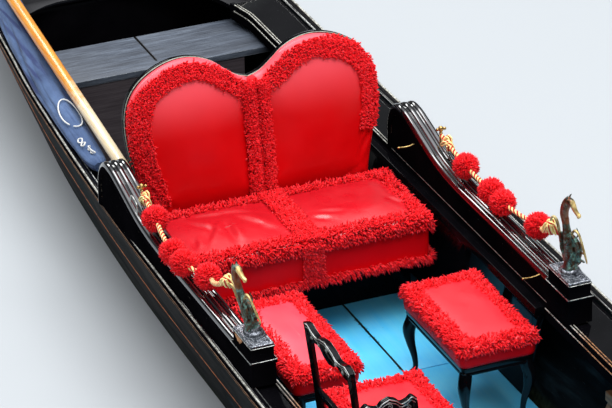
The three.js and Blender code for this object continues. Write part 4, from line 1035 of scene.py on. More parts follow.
def crease(u, v, rows):
    """How far the surface falls in at a point, beside folds drawn between two points."""
    out = np.zeros_like(u)
    for u0, v0, u1, v1, wide, deep in rows:
        a, b = np.array([u0, v0]) * MM, np.array([u1, v1]) * MM
        d = b - a
        t = ((u - a[0]) * d[0] + (v - a[1]) * d[1]) / d.dot(d)
        off = ((u - a[0]) * -d[1] + (v - a[1]) * d[0]) / np.linalg.norm(d)
        w = wide * MM
        past = np.maximum(0, np.maximum(-t, t - 1))
        fade = np.exp(-past ** 2 * 12) * np.sin(np.pi * np.clip(t, 0.08, 0.92))
        fold = np.exp(-(off / w) ** 2) - 0.7 * np.exp(-((off - 1.8 * w) / (1.3 * w)) ** 2)
        out += deep * MM * fade * fold
    return out


def bowl(u, v, centre, rx, ry, deep, wall):
    """How far an oval hollow falls in at a point: a flat middle inside a sloped wall."""
    r = np.hypot((u / MM - centre[0]) / rx, (v / MM - centre[1]) / ry)
    return deep * MM * (1 - smooth_step((r - 1 + wall) / wall))


class Lobe:
    """One padded half of the back: an outline, and how far its face stands out inside it."""

    def __init__(self, name):
        self.name, self.side = name, SIDES[name]
        half = back_half(7 * MM)
        curve = half[half[:, 1] > (LOBE_FOOT + 10) * MM]
        curve[:, 0] = np.maximum(curve[:, 0], 3 * MM)
        foot = np.array([[424, LOBE_FOOT], [3, LOBE_FOOT]]) * MM
        self.curve = even(curve, 170)
        base = even(np.vstack([curve[-1], foot]), 46)[1:]
        rise = even(np.vstack([foot[1], curve[0]]), 44)[1:-1]
        self.outline = np.vstack([self.curve, base, rise])
        d = self.outline - LOBE_C
        angle = np.mod(np.arctan2(d[:, 1], d[:, 0]), 2 * np.pi)
        order = np.argsort(angle)
        self.turns = np.linspace(0, 2 * np.pi, 720, endpoint=False)
        reach = np.linalg.norm(d, axis=1)
        self.edge = np.interp(self.turns, angle[order], reach[order], period=2 * np.pi)
        kernel = np.exp(-(np.arange(-90, 91) / 34.0) ** 2)
        round_again = np.concatenate([self.edge[-90:], self.edge, self.edge[:90]])
        self.soft_edge = np.convolve(round_again, kernel / kernel.sum(), "valid")

    def depth(self, u, v):
        d = np.stack([u - LOBE_C[0], v - LOBE_C[1]], axis=-1)
        turn = np.mod(np.arctan2(d[..., 1], d[..., 0]), 2 * np.pi)
        ring = np.interp(turn, self.turns, self.edge, period=2 * np.pi)
        soft = np.interp(turn, self.turns, self.soft_edge, period=2 * np.pi)
        far = np.linalg.norm(d, axis=-1)
        s = np.clip(far / ring, 0, 1)
        e = np.clip((1 - s) * ring / (26 * MM), 0, 1)
        w = smooth_step((s - 0.35) / 0.65)
        q = np.clip(far / (ring * w + soft * (1 - w)), 0, 1)
        face = 24 * MM + 22 * MM * np.sqrt(1 - (1 - e) ** 2) + 54 * MM * (1 - q ** 2.2) ** 1.15
        return face - crease(u, v, LOBE_CREASES[self.name])

    def point(self, u, v, out=0.0):
        """The face's point in the boat's frame."""
        x = SEAT_BACK - BACK_PAD + self.depth(u, v) + out
        return lean(np.stack([x, BACK_Y + self.side * u, v], axis=-1))

    def make(self):
        rings = []
        for d in (0.5, 3, 14, 24):
            p = LOBE_C + (self.outline - LOBE_C) * (1 - (0.012 if d < 2 else 0.0))
            rings.append(lean([[SEAT_BACK - BACK_PAD + d * MM, BACK_Y + self.side * u, v] for u, v in p]))
        for s in (1, 0.998, 0.993, 0.985, 0.975, 0.962, 0.948, 0.93, *np.linspace(0.91, 0.03, 28)):
            p = LOBE_C + (self.outline - LOBE_C) * s
            rings.append(self.point(p[:, 0], p[:, 1]))
        node = "settee_back_pad_" + self.name
        piece = Shape().loft(rings).make("back_leather_" + self.name, LEATHER, replaces=(node,), smooth=70)

    def along(self, rows, at):
        return np.stack([np.interp(at, np.arange(len(rows)), rows[:, k]) for k in range(2)], axis=1)

    def pile(self, seed):
        """Strands in a band inside the edge, and over the roll between the two lobes."""
        rng = np.random.default_rng(seed)
        a = rng.uniform(0, 1, LOBE_STRANDS) * (len(self.curve) - 1)
        p = self.along(self.curve, a)
        t = self.along(unit(np.gradient(self.curve, axis=0)), a)
        inward = np.stack([t[:, 1], -t[:, 0]], axis=1)
        inward *= np.sign(np.sum(inward * (LOBE_C - p), axis=1, keepdims=True))
        up = p[:, 1]
        if self.name == "port":
            side, foot = smooth_step((p[:, 0] - 270 * MM) / (60 * MM)), 600 * MM
        else:
            side, foot = smooth_step((p[:, 0] - 370 * MM) / (80 * MM)), 452 * MM
            side = side * smooth_step((950 * MM - up) / (90 * MM))
        first = (1 - side) * 9 * MM - side * 3 * MM
        wide = (1 - side) * 64 * MM + side * 80 * MM
        keep = up > foot
        at = (p + inward * (first + wide * rng.uniform(0, 1, LOBE_STRANDS))[:, None])[keep]
        m = MIDDLE_STRANDS
        middle = np.stack([rng.uniform(-4, 52, m) * MM, rng.uniform(436, 880, m) * MM], axis=1)
        at = np.vstack([at, middle])
        outward = np.vstack([-inward[keep], np.zeros((m, 2))])
        at[:, 0] = np.maximum(at[:, 0], -2 * MM)
        proud = 34 * MM * np.clip(1 - (at[:, 0] / (54 * MM)) ** 2, 0, 1)
        roots = self.point(np.maximum(at[:, 0], 4 * MM), at[:, 1], proud)
        lift = np.where(np.arange(len(at)) < len(at) - m, outward[:, 1] * 0.35, 0.55)
        ways = np.stack([np.ones(len(at)), self.side * outward[:, 0] * 0.45, lift], axis=1)
        return roots, lean_way(ways)


def back_roll():
    """The padded roll that the strands between the two lobes are sewn to."""
    x = SEAT_BACK - BACK_PAD + 38 * MM
    path = lean([[x, BACK_Y, z * MM] for z in np.linspace(420, 872, 20)])
    Shape().tube(path, 24 * MM, 16).make("back_roll", WOOL, smooth=60)


def pillow(name, box, material, node, crown, rim=26, corner=34, folds=(), bowls=(), count=38):
    """A crowned cushion, in millimetres: bulging sides, round edges, and folds pressed into its top."""
    (x0, x1), (y0, y1), (z0, z1) = (np.array(b) * MM for b in box)
    crown, rim, corner = crown * MM, rim * MM, corner * MM
    small = min(x1 - x0, y1 - y0) / 2
    rows = [(9 * MM, z0), (2 * MM, z0 + 5 * MM), (0, z0 + 16 * MM)]
    for k in np.linspace(0.15, 1, 7):
        rows.append((-1.5 * MM * math.sin(math.pi * k), z0 + 16 * MM + (z1 - rim - z0 - 16 * MM) * k))
    for a in np.radians(np.linspace(12, 90, 8)):
        rows.append((rim * (1 - math.cos(a)), z1 - rim + rim * math.sin(a)))
    rings = [at_height(rounded_ring(x0, x1, y0, y1, inset, corner, 3 * MM, count), z) for inset, z in rows]
    for inset in np.linspace(rim, small - 2 * MM, 26)[1:]:
        q = (inset - rim) / (small - rim)
        ring = rounded_ring(x0, x1, y0, y1, inset, max(corner - 0.5 * inset, 8 * MM), 3 * MM * (1 - q), count)
        a = np.clip(np.abs(ring[:, 0] - (x0 + x1) / 2) / ((x1 - x0) / 2 - rim), 0, 1)
        b = np.clip(np.abs(ring[:, 1] - (y0 + y1) / 2) / ((y1 - y0) / 2 - rim), 0, 1)
        z = z1 + crown * (1 - a ** 2.2) * (1 - b ** 2.2) - crease(ring[:, 0], ring[:, 1], folds)
        rings.append(at_height(ring, z - sum(bowl(ring[:, 0], ring[:, 1], *row) for row in bowls)))
    piece = Shape().loft(rings).make(name, [material, DARK_LEATHER], replaces=(node,), smooth=70)
    for face in piece.data.polygons:
        if abs(face.normal.z) < 0.5 and face.center.z < z1 - rim * 0.8:
            face.material_index = 1
    return piece


# Strands to a square metre along the seats' edges, and how many stand over and in front of their joint.
PILE_DENSE = 27500
JOINT_STRANDS, FRONT_STRANDS = 2300, 1300


def edge_pile(rng, a, b, inward, wide, down, rim=14 * MM):
    """Roots along a cushion's edge from a to b, over its top and down its side."""
    a, b, inward, up = (np.asarray(v, float) for v in (a, b, inward, (0, 0, 1)))
    n = int(np.linalg.norm(b - a) * (wide + down) * PILE_DENSE)
    w = rng.uniform(-wide, down, n)
    base = a + (b - a) * rng.uniform(0, 1, n)[:, None]
    top, fall = np.maximum(-w, 0)[:, None], np.maximum(w, 0)[:, None]
    share = np.clip((w + rim) / (2 * rim), 0, 1)[:, None]
    ease = rim * 0.3 * (1 - np.abs(2 * share - 1))
    roots = base + inward * (top + ease) - up * (fall + ease)
    ways = up * (1 - share) - inward * share - 0.15 * share * up
    return roots, ways - inward * 0.25 * (1 - np.clip(top / wide, 0, 1))


SEAT_X, SEAT_Z, SEAT_SEAM = (-1085, -655), (256, 434), 282 * MM
SEAT_Y = {"starboard": (-430, 46), "port": (54, 530)}
SEAT_CROWN = {"starboard": 18, "port": 24}
# Folds in the seats: two ends along the boat and across it, width, depth.
SEAT_FOLDS = {
    "starboard": [
        (-1010, -330, -960, -120, 15, 6), (-975, -330, -850, -250, 15, 6), (-955, -215, -770, -330, 14, 6),
        (-930, -200, -730, -215, 17, 7), (-950, -160, -820, -60, 17, 6), (-880, -140, -760, -30, 22, 4),
        (-1000, -200, -930, -40, 13, 4), (-860, -345, -760, -370, 12, 5),
    ],
    "port": [(-850, 130, -790, 260, 15, 4), (-830, 110, -760, 180, 14, 4), (-860, 430, -780, 470, 16, 4)],
}
SEAT_BOWLS = {"starboard": (), "port": [((-890, 290), 112, 185, 10, 0.75)]}


def seat_pile():
    """Strands round the seats' top edges, over the joint between them, down the front and round the foot."""
    rng = np.random.default_rng(71)
    top, front, back = SEAT_Z[1] * MM, SEAT_FRONT, SEAT_BACK + 14 * MM
    left, right, mid, rear = -430 * MM, 530 * MM, 50 * MM, top + 3 * MM
    bands = [
        edge_pile(rng, (front, left + 10 * MM, top), (front, right, top), (-1, 0, 0), 66 * MM, 42 * MM),
        edge_pile(rng, (front, right, top), (back, right, top), (0, -1, 0), 58 * MM, 62 * MM),
        edge_pile(rng, (back, left + 6 * MM, rear), (back, right, rear), (1, 0, 0), 48 * MM, 2 * MM),
    ]
    n = JOINT_STRANDS
    across = rng.uniform(-40, 40, n) * MM
    z = top + 4 * MM - np.abs(across) * 0.05
    roots = np.stack([rng.uniform(back, front, n), mid + across, z], axis=1)
    bands.append((roots, np.stack([np.zeros(n), across * 9, np.ones(n)], axis=1)))
    n = FRONT_STRANDS
    across = rng.uniform(-36, 36, n) * MM
    roots = np.stack([np.full(n, front + 1 * MM), mid + across, rng.uniform(270, 425, n) * MM], axis=1)
    bands.append((roots, np.stack([np.ones(n), across * 12, -0.2 * np.ones(n)], axis=1)))
    tufts("seat_pile", bands, 25 * MM, 72, 2.7 * MM, 0.62, (0.12, 0, -0.42))
    x, y, z = front + 1 * MM, right + 1 * MM, SEAT_SEAM
    bands = [
        edge_pile(rng, (x, left, z), (x, right, z), (-1, 0, 0), 0.5 * MM, 26 * MM),
        edge_pile(rng, (front, y, z), (back, y, z), (0, -1, 0), 0.5 * MM, 26 * MM),
    ]
    bands = [(np.repeat(roots, 2, 0), np.repeat(ways, 2, 0)) for roots, ways in bands]
    tufts("seat_foot_pile", bands, 30 * MM, 73, 1.9 * MM, 0.4, (0.1, 0, -0.3))


back_shell()
back_roll()
grown = []
for i, name in enumerate(SIDES):
    lobe = Lobe(name)
    lobe.make()
    grown.append(lobe.pile(31 + i))
tufts("back_pile", grown, 20 * MM, 401, 2.55 * MM, 0.7, (0, 0, -0.06))
for name in ("starboard", "port"):
    pillow(
        "seat_leather_" + name, [SEAT_X, SEAT_Y[name], SEAT_Z], SEAT_LEATHER, "seat_cushion_" + name,
        SEAT_CROWN[name], folds=SEAT_FOLDS[name], bowls=SEAT_BOWLS[name],
    )
seat_pile()


# Chairs
CHAIRS = {
    "chair_1": dict(x=(-405, 165), y=(-366, -112), back=None, fold=(-320, -300, -60, -190, 48, 2.5)),
    "chair_2": dict(x=(-290, 232), y=(246, 544), back=None, fold=(-200, 340, 120, 450, 52, 2.5)),
    "chair_3": dict(
        x=(300, 745), y=(-330, 46), back="starboard", posts=(340, 710), top=690,
        fold=(390, -240, 620, -40, 50, 2.5),
    ),
    "chair_4": dict(
        x=(850, 1220), y=(-400, -150), back="aft", posts=(-375, -190), top=592,
        fold=(910, -330, 1150, -240, 46, 2.5),
    ),
}
CHAIR_SEAT, CHAIR_PAD, CHAIR_POST, CHAIR_RAKE = 292, (292.3, 376), 15, 50
CHAIR_RAIL = (404, 430)
CHAIR_SKIRT = ((13, 258), (10, 260), (9, 268), (11, 272), (8, 277), (8, 289), (10, 291.7))
CREST_TOP = [[0, 16], [0.28, 6], [0.5, -8], [0.72, -2], [0.9, 8], [1.1, -4]]
CREST_FOOT = [[1.1, -34], [0.8, -52], [0.45, -40], [0.2, -62], [0, -70]]


def leg(shape, x, y, dx, dy):
    s = CHAIR_SEAT
    rows = spline([
        [0, s - 4, 20], [3, s - 40, 24], [12, s - 84, 24], [8, s - 136, 17],
        [-3, s - 196, 11.5], [-5, 52, 10], [5, 24, 14], [8, 8.4, 14],
    ], 26)
    path = np.array([[x + dx * out, y + dy * out, z] for out, z in rows[:, :2]]) * MM
    shape.tube(path, rows[:, 2] * MM, 14, ends=False)


def chair_frame(name, row):
    (x0, x1), (y0, y1) = row["x"], row["y"]
    shape = Shape().loft(stack((x0, x1, y0, y1), CHAIR_SKIRT, 16))
    for x, dx in ((x0 + 32, -1), (x1 - 32, 1)):
        for y, dy in ((y0 + 32, -1), (y1 - 32, 1)):
            leg(shape, x, y, dx, dy)
    shape.make(name + "_wood", CHAIR_BLACK, replaces=(name + "_frame",))


def chair_back(name, row):
    """Raked posts, a rail and a carved crest with curls in relief; its edges and curls are silver as a
    painted highlight.
    """
    u0, u1 = row["posts"]
    top, mid, half = row["top"], (u0 + u1) / 2, (u1 - u0) / 2
    edge = (row["x"][0] if row["back"] == "aft" else row["y"][0]) - 3

    def at(u, out, z):
        away = out + CHAIR_RAKE * max(0, z - CHAIR_SEAT) / (top - CHAIR_SEAT)
        return [edge - away, u, z] if row["back"] == "aft" else [u, edge - away, z]

    def whole(rows, count):
        curve = spline(rows, count)
        return np.vstack([curve[::-1] * [-1, 1], curve[1:]])

    shape = Shape()
    post = [[258, 15], [332, 14], [(CHAIR_SEAT + top) / 2, 12], [top - 30, 13], [top - 8, 11]]
    for u in (u0, u1):
        rings = []
        for z, r in spline(post, 12):
            c = 0.35 * r
            corners = [(-r, -c), (-c, -r), (c, -r), (r, -c), (r, c), (c, r), (-c, r), (-r, c)]
            rings.append([at(u + du, dv, z) for du, dv in corners])
        shape.loft(np.array(rings) * MM)
    crown, foot = whole(CREST_TOP, 30), whole(CREST_FOOT[::-1], 26)
    outline = np.array([(mid + half * t, top + h) for t, h in np.vstack([crown, foot[::-1]])])
    c = outline.mean(axis=0)
    rings = []
    for out, inset in ((-10, 0.985), (-8, 1), (8, 1), (10, 0.985)):
        rings.append([at(u, out, z) for u, z in c + (outline - c) * inset])
    shape.loft(np.array(rings) * MM)
    z0, z1 = CHAIR_RAIL
    rail = [[at(u, o, z) for u, z in ((u0, z0), (u1, z0), (u1, z1), (u0, z1))] for o in (-8, 8)]
    shape.loft(np.array(rail) * MM)
    shape.make(name + "_back", CHAIR_BLACK, bevel=1.2 * MM)
    # The carving's lines and curls are coloured silver as a painted highlight on the relief.
    glints = Shape()
    for inset, radius in ((5, 2.2), (15, 1.6)):
        for out in (-10.5, 10.5):
            line = [at(mid + half * t * (1 - 0.02 * inset / 5), out, top + h - inset) for t, h in crown]
            glints.tube(np.array(line) * MM, radius * MM, 8)
    turns = list(zip(np.linspace(0, 2.6 * np.pi, 26), np.linspace(2, 11, 26)))
    for t in (-0.72, -0.4, 0, 0.4, 0.72):
        z = top + np.interp(abs(t), *np.array(CREST_TOP).T) - 30
        for out in (-10.5, 10.5):
            curl = [at(mid + half * t + r * math.cos(a), out, z + r * math.sin(a)) for a, r in turns]
            glints.tube(np.array(curl) * MM, 1.7 * MM, 6)
    glints.make(name + "_carving_highlights", SILVER_AND_HIGHLIGHT)


def chair_pile(name, x0, x1, y0, y1, seed):
    rng = np.random.default_rng(seed)
    x0, x1, y0, y1, z, rim = (v * MM for v in (x0, x1, y0, y1, CHAIR_PAD[1], 3))
    sides = [
        ((x1 - rim, y0, z), (x1 - rim, y1, z), (-1, 0, 0)), ((x0 + rim, y0, z), (x0 + rim, y1, z), (1, 0, 0)),
        ((x0, y0 + rim, z), (x1, y0 + rim, z), (0, 1, 0)), ((x0, y1 - rim, z), (x1, y1 - rim, z), (0, -1, 0)),
    ]
    bands = [edge_pile(rng, a, b, inward, 50 * MM, 26 * MM) for a, b, inward in sides]
    tufts(name + "_pile", bands, 25 * MM, seed + 1, 2.7 * MM, 0.6, (0, 0, -0.46))


for number, (name, row) in enumerate(CHAIRS.items()):
    chair_frame(name, row)
    if row["back"]:
        chair_back(name, row)
    (x0, x1), (y0, y1) = row["x"], row["y"]
    x0 += CHAIR_POST if row["back"] == "aft" else 0
    y0 += CHAIR_POST if row["back"] == "starboard" else 0
    # The first chair gets the paler pink leather, a painted sheen on its top.
    red = CORAL_LEATHER if number else SHEEN_PINK_LEATHER
    box = [(x0, x1), (y0, y1), CHAIR_PAD]
    pillow(name + "_leather", box, red, name + "_cushion", 15, 18, 26, [row["fold"]], count=20)
    chair_pile(name, x0, x1, y0, y1, 500 + 10 * number)


# Arms
ARM_TOP = [
    [-1262, 470], [-1256, 560], [-1228, 622], [-1178, 656], [-1115, 658], [-1040, 642],
    [-940, 614], [-830, 584], [-720, 567], [-600, 560],
]
ARM_RAIL, ARM_WIDE, ARM_PANEL = 46, 88, 26
PEDESTAL_LONG, PEDESTAL_TOP = 175, 604
ARM_SIDES = {
    "port": dict(middle=656, block=168, foot=448.3, aft=0, outboard=0, yaw=28, tall=1.0),
    "starboard": dict(middle=531, block=122, foot=454.3, aft=11, outboard=8, yaw=16, tall=0.9),
}
# The stud's radius and height from its foot to its ball, the bracket under it, and the two hooks inboard.
STUD = [(9, -60), (9, -54), (6, -50), (5.5, 4), (8, 8), (8, 10), (4, 13), (9, 19), (11, 27), (8, 35), (2, 38)]
BRACKET = [[-34, -12], [-34, 14], [-30, 27], [-18, 33], [18, 26], [29, 19], [33, 8], [33, -22]]
HOOKS = ((-998, 564, 41), (104, 538, 44.5))
HOOK = [(0, 0, 2.6), (18, -3.5, 2.6), (36, -5.3, 3.2), (66, -2.8, 4.2)]


def bead_section():
    """Across the rail: three round beads with hollows between them."""
    rows = [(-44, -18), (-43, -13)]
    for centre, wide, top in ((-29, 12, -1), (0, 12.5, 0), (29, 12, -1)):
        for a in np.radians(np.linspace(170, 10, 9)):
            rows.append((centre + wide * math.cos(a), top - 9 + 9 * math.sin(a)))
        if centre < 29:
            rows.append((centre + 14.6, -9.5))
    return rows + [(43, -13), (44, -18), (44, -30), (42, -ARM_RAIL), (-42, -ARM_RAIL), (-44, -30)]


def arm(name):
    """The moulded rail, the panels under it, and the pedestal at its fore end."""
    row = ARM_SIDES[name]
    side, middle, start, foot = SIDES[name], row["middle"], row["block"], row["foot"]
    curve = even(spline(ARM_TOP, 120), 64)
    straight = [[x, 560 - 2 * (x + 600) / (start + 620)] for x in np.linspace(-560, start + 20, 12)]
    path = np.vstack([[[-1262, foot]], curve, straight])
    tangent = unit(np.gradient(path, axis=0))
    normal = np.stack([-tangent[:, 1], tangent[:, 0]], axis=1)
    normal[0] = [-1, 0]
    rings = []
    for (x, z), (nx, nz) in zip(path, normal):
        rings.append([[x + nx * h, side * middle + y, z + nz * h] for y, h in bead_section()])
    shape = Shape().loft(np.array(rings) * MM)
    top = [[x, z - 20] for x, z in curve if z > foot + 90]
    face = [[-1240, foot], *top, [start + 20, 538], [start + 20, foot]]
    inner = side * (middle - ARM_WIDE / 2 + 4)
    for ys in ((inner, inner + side * ARM_PANEL), (side * (middle + 20), side * (middle + 39))):
        shape.loft(np.array([[[x, y, z] for x, z in face] for y in sorted(ys)]) * MM, 1)
    box = (start, start + PEDESTAL_LONG, side * middle - 44, side * middle + 44)
    rows = [
        (-3, foot), (-3, 534), (-5, 537), (-7, 540), (-7, 549), (-5, 552), (1, 553), (2, 556),
        (2, 594), (0, 597), (-1, 600), (0, PEDESTAL_TOP),
    ]
    shape.loft(stack(box, rows, 3), 1)
    piece = shape.make("arm_wood_" + name, [WORN_LACQUER, FLAT_BLACK], replaces=("arm_" + name,), smooth=40)
    for face in piece.data.polygons:
        if abs(face.normal.y) > 0.99:
            face.material_index = 1
    # Painted highlights: silver lines round the pedestal's lip and top edge stand in for the light they
    # catch.
    edge = Shape()
    for path, thick in zip(stack(box, ((-6, 551), (-0.5, 602.5)), 3), (1.8, 1.2)):
        edge.tube(np.vstack([path, path[:1]]), thick * MM, 6)
    edge.make("pedestal_highlight_edges_" + name, SILVER_AND_HIGHLIGHT, smooth=60)


def stud(name):
    """The brass stud that the cord is tied to, with its ball, collar and the bracket under it."""
    y, rows = GARLAND[name]
    x, z, inward = rows[0]
    c = np.array([x - 7, SIDES[name] * (y - inward), z]) * MM
    shape = Shape().lathe(c, np.array(STUD) * MM, 20)
    for way in (-1, 1):
        tip = c + np.array([3, 15 * way, 27]) * MM
        shape.tube([c + np.array([0, 5 * way, 22]) * MM, tip], 3.4 * MM, 10)
        shape.globe(tip, 6.5 * MM, 7, 14)
    shape.make("stud_" + name, BRASS, smooth=60)
    foot = np.interp(x, *zip(*ARM_TOP)) + 2
    base = np.array([x + 16, SIDES[name] * (ARM_SIDES[name]["middle"] + 30), foot])
    path = spline([base + [u, 0, v] for u, v in BRACKET], 50) * MM
    Shape().tube(path, 3.2 * MM, 10).make("bracket_" + name, SILVER_AND_HIGHLIGHT, slot="polished_iron", smooth=60)


def hook(number, x, z, off):
    """A small brass hook that stands out of the port panel."""
    y = ARM_SIDES["port"]["middle"] - off
    path = spline([[x, y - out, z + up, thick] for out, up, thick in HOOK], 24) * MM
    Shape().tube(path[:, :3], path[:, 3], 10).make("hook_port_%d" % number, BRASS, smooth=60)


for name in SIDES:
    arm(name)
    stud(name)
for number, place in enumerate(HOOKS, 1):
    hook(number, *place)


# Sea horses
def limbs(body, spines):
    """The horse's forms, each a rod through points in millimetres that end in its radius there."""

    def limb(kind, rows, sides=14, flat=0.8, count=40):
        p = spline(rows, count)
        body.tube(p[:, :3] * MM, np.maximum(p[:, 3], 1.4) * MM, sides, flat)
        spines.setdefault(kind, []).append(p[:, :3])

    limb("body", [
        (4, 0, 18, 31), (4, 0, 44, 28), (4, 0, 74, 27), (2, 0, 102, 26), (-4, 0, 130, 23), (-12, 0, 158, 18),
        (-18, 0, 188, 15), (-21, 0, 214, 15),
    ], 18, 0.86, 60)
    limb("neck", [
        (-21, 0, 204, 15), (-23, 0, 228, 15), (-21, 0, 250, 16), (-15, 0, 270, 17), (-8, 0, 284, 16),
    ], 16, 0.8, 44)
    limb("crest", [
        (-32, 0, 196, 5), (-39, 0, 224, 7), (-37, 0, 254, 8), (-28, 0, 282, 7), (-18, 0, 298, 4),
    ], 10, 0.45)
    limb("snout", [
        (-12, 0, 286, 16), (0, 0, 287, 15), (10, 0, 276, 13), (19, 0, 261, 10.5),
        (28, 0, 249, 9), (35, 0, 241, 8),
    ], 14, 0.78)
    limb("snout", [(36, 3, 245, 6), (39, 0, 239, 6.5), (36, -3, 236, 6)], 10)
    for v in (-1, 1):
        limb("snout", [(-12, 8 * v, 293, 5), (-9, 10 * v, 303, 4.5), (-3, 10 * v, 312, 2)], 8, 0.7)
        limb("snout", [(4, 10 * v, 287, 4.5), (10, 10.5 * v, 282, 4)], 8)
    limb("body", [
        (24, 0, 48, 9), (38, 0, 76, 12), (41, 0, 104, 13), (33, 0, 132, 11), (14, 0, 152, 9),
    ], 12, 0.7)
    limb("fin", [
        (6, 0, 158, 6), (20, 0, 178, 7), (36, 0, 170, 6), (48, 0, 144, 6), (60, 0, 110, 6),
        (69, 0, 84, 5), (74, 0, 66, 4),
    ], 10, 0.7)
    limb("body", [(32, 0, 84, 8), (46, 0, 98, 7), (56, 0, 98, 5)], 10, 0.6)
    limb("body", [(34, 0, 56, 8), (50, 0, 68, 7), (62, 0, 66, 5)], 10, 0.6)
    limb("body", [(-12, 0, 48, 10), (-26, 0, 84, 12), (-34, 0, 120, 10), (-36, 0, 152, 7)], 12, 0.7)
    limb("fin", [
        (-20, 0, 46, 7), (-34, 0, 92, 7), (-43, 0, 136, 7), (-50, 0, 170, 7), (-58, 0, 194, 7),
        (-70, 0, 206, 6.5), (-80, 0, 200, 6), (-83, 0, 188, 5),
    ], 10, 0.75)
    for v in (-1, 1):
        limb("body", [
            (-8, 15 * v, 112, 7), (8, 23 * v, 132, 7), (18, 24 * v, 156, 5), (14, 20 * v, 178, 3),
        ], 10, 0.5)
        limb("body", [(0, 14 * v, 60, 7), (18, 23 * v, 76, 6), (28, 22 * v, 102, 3)], 10, 0.5)
        limb("body", [(-14, 12 * v, 76, 6), (-24, 20 * v, 98, 6), (-30, 20 * v, 124, 3)], 8, 0.5)
        limb("body", [(2, 15 * v, 26, 6), (22, 25 * v, 36, 6), (36, 24 * v, 54, 3)], 8, 0.5)


def modified(piece, kind, **values):
    """Applies one modifier to a piece."""
    made = piece.modifiers.new(kind.lower(), kind)
    for key, value in values.items():
        setattr(made, key, value)


HORSE_FOOT = PEDESTAL_TOP + 0.3
PLATE = ((0, 0), (-0.5, 1), (-0.5, 5), (1, 7), (4, 8), (6, 7), (10, 6.6), (12, 8))
PLATE_BOSS = [
    (42, 3), (43, 9), (41, 12), (36, 13), (35, 16), (37, 19), (36, 23), (31, 26), (29, 28),
    (26, 33), (24, 40),
]


def seahorse(name):
    """The cast horse, its forms run together, with marks for where it is rubbed and where it is copper."""
    row = ARM_SIDES[name]
    side, tall = SIDES[name], row["tall"]
    base = np.array([row["block"] + PEDESTAL_LONG / 2, side * row["middle"], HORSE_FOOT])
    body, spines = Shape(), {}
    limbs(body, spines)
    turn = Matrix.Rotation(math.radians(-side * row["outboard"]), 3, "X")
    turn = turn @ Matrix.Rotation(math.radians(-row["aft"]), 3, "Y")
    turn = np.array(turn @ Matrix.Rotation(math.radians(row["yaw"]), 3, "Z"))
    body.verts = [(turn @ (v * tall).T).T + base * MM for v in body.verts]
    piece = placed("seahorse_cast_" + name, body.mesh("seahorse"), BRONZE, replaces=("seahorse_" + name,))
    modified(piece, "REMESH", mode="VOXEL", voxel_size=2.2 * MM)
    modified(piece, "SMOOTH", factor=0.5, iterations=3)
    bpy.context.view_layer.update()
    seen = piece.evaluated_get(bpy.context.evaluated_depsgraph_get())
    mesh = bpy.data.meshes.new_from_object(seen)
    piece.modifiers.clear()
    piece.data = mesh
    mesh.materials.clear()
    mesh.materials.append(BRONZE)
    mesh.shade_smooth()
    co = np.array([v.co for v in mesh.vertices])
    local = (turn.T @ (co - base * MM).T).T / tall / MM

    def near(kind, reach):
        line = np.concatenate(spines[kind])
        gap = np.min(np.linalg.norm(local[:, None] - line[None], axis=2), axis=1)
        return smooth_step((reach - gap) / (0.4 * reach))

    marks = {
        "rubbed": np.maximum(near("snout", 17) * smooth_step((local[:, 0] - 4) / 12), 0.7 * near("fin", 8)),
        "copper": np.maximum(near("neck", 20), near("crest", 12)),
    }
    for mark, values in marks.items():
        made = mesh.attributes.new(mark, "FLOAT", "POINT")
        made.data.foreach_set("value", values.astype(np.float32))


def horse_plate(name):
    """The cast plate under the horse: a raised rim, curls in relief at both ends and a round boss."""
    x, y = ARM_SIDES[name]["block"] + PEDESTAL_LONG / 2, SIDES[name] * ARM_SIDES[name]["middle"]
    plate = Shape().loft(stack((x - 84, x + 84, y - 43, y + 43), [(i, HORSE_FOOT + z) for i, z in PLATE], 6))
    rng = np.random.default_rng(12)
    for _ in range(26):
        u, v = rng.uniform(-70, 70), rng.uniform(-31, 31)
        if abs(u) < 42:
            continue
        turn = np.linspace(0, rng.uniform(3, 6), 14)
        r = rng.uniform(4, 11) * (1 - 0.1 * turn)
        path = np.stack([x + u + r * np.cos(turn + u), y + v * 0.9 + r * np.sin(turn + u)], axis=1)
        path = at_height(np.clip(path, [x - 74, y - 35], [x + 74, y + 35]), HORSE_FOOT + 8)
        plate.tube(path * MM, 1.8 * MM, 6)
    plate.lathe(np.array([x, y, HORSE_FOOT]) * MM, np.array(PLATE_BOSS) * MM, 40)
    plate.make("seahorse_plate_" + name, PEWTER, smooth=45)


def chipped_wood():
    """Bare wood where the lacquer has broken off beside the starboard plate."""
    rng = np.random.default_rng(3)
    x0, y = 146, -(531 + 44)
    top = [[x0 + i * 6, 602 + rng.uniform(-1, 1)] for i in range(12)]
    low = []
    for i in range(12):
        dip = 26 * math.sin(math.pi * (i + 0.6) / 12.2) ** 0.6
        low.append([x0 + i * 6, 602 - dip + rng.uniform(-4, 4)])
    rings = [[[x, y - d, z] for x, z in top + low[::-1]] for d in (-1.4, 0.5)]
    Shape().loft(np.array(rings) * MM).make("chipped_corner", BARE_WOOD, smooth=0)


for name in SIDES:
    seahorse(name)
    horse_plate(name)
chipped_wood()


# Oar, cover and fittings
OAR_FORE, OAR_AFT = np.array([-1330, -432, 522]), np.array([-5210, -262, 761])
# Along the oar, how wide and how deep it is.
OAR = [
    (0, 15, 15), (0.006, 18, 18), (0.02, 21, 21), (0.1, 24, 24), (0.5, 24, 24), (0.64, 22, 22),
    (0.70, 18, 34), (0.76, 15, 58), (0.86, 11, 78), (0.94, 10, 79), (0.985, 9, 77), (0.997, 7, 68),
    (1.0, 5, 58),
]
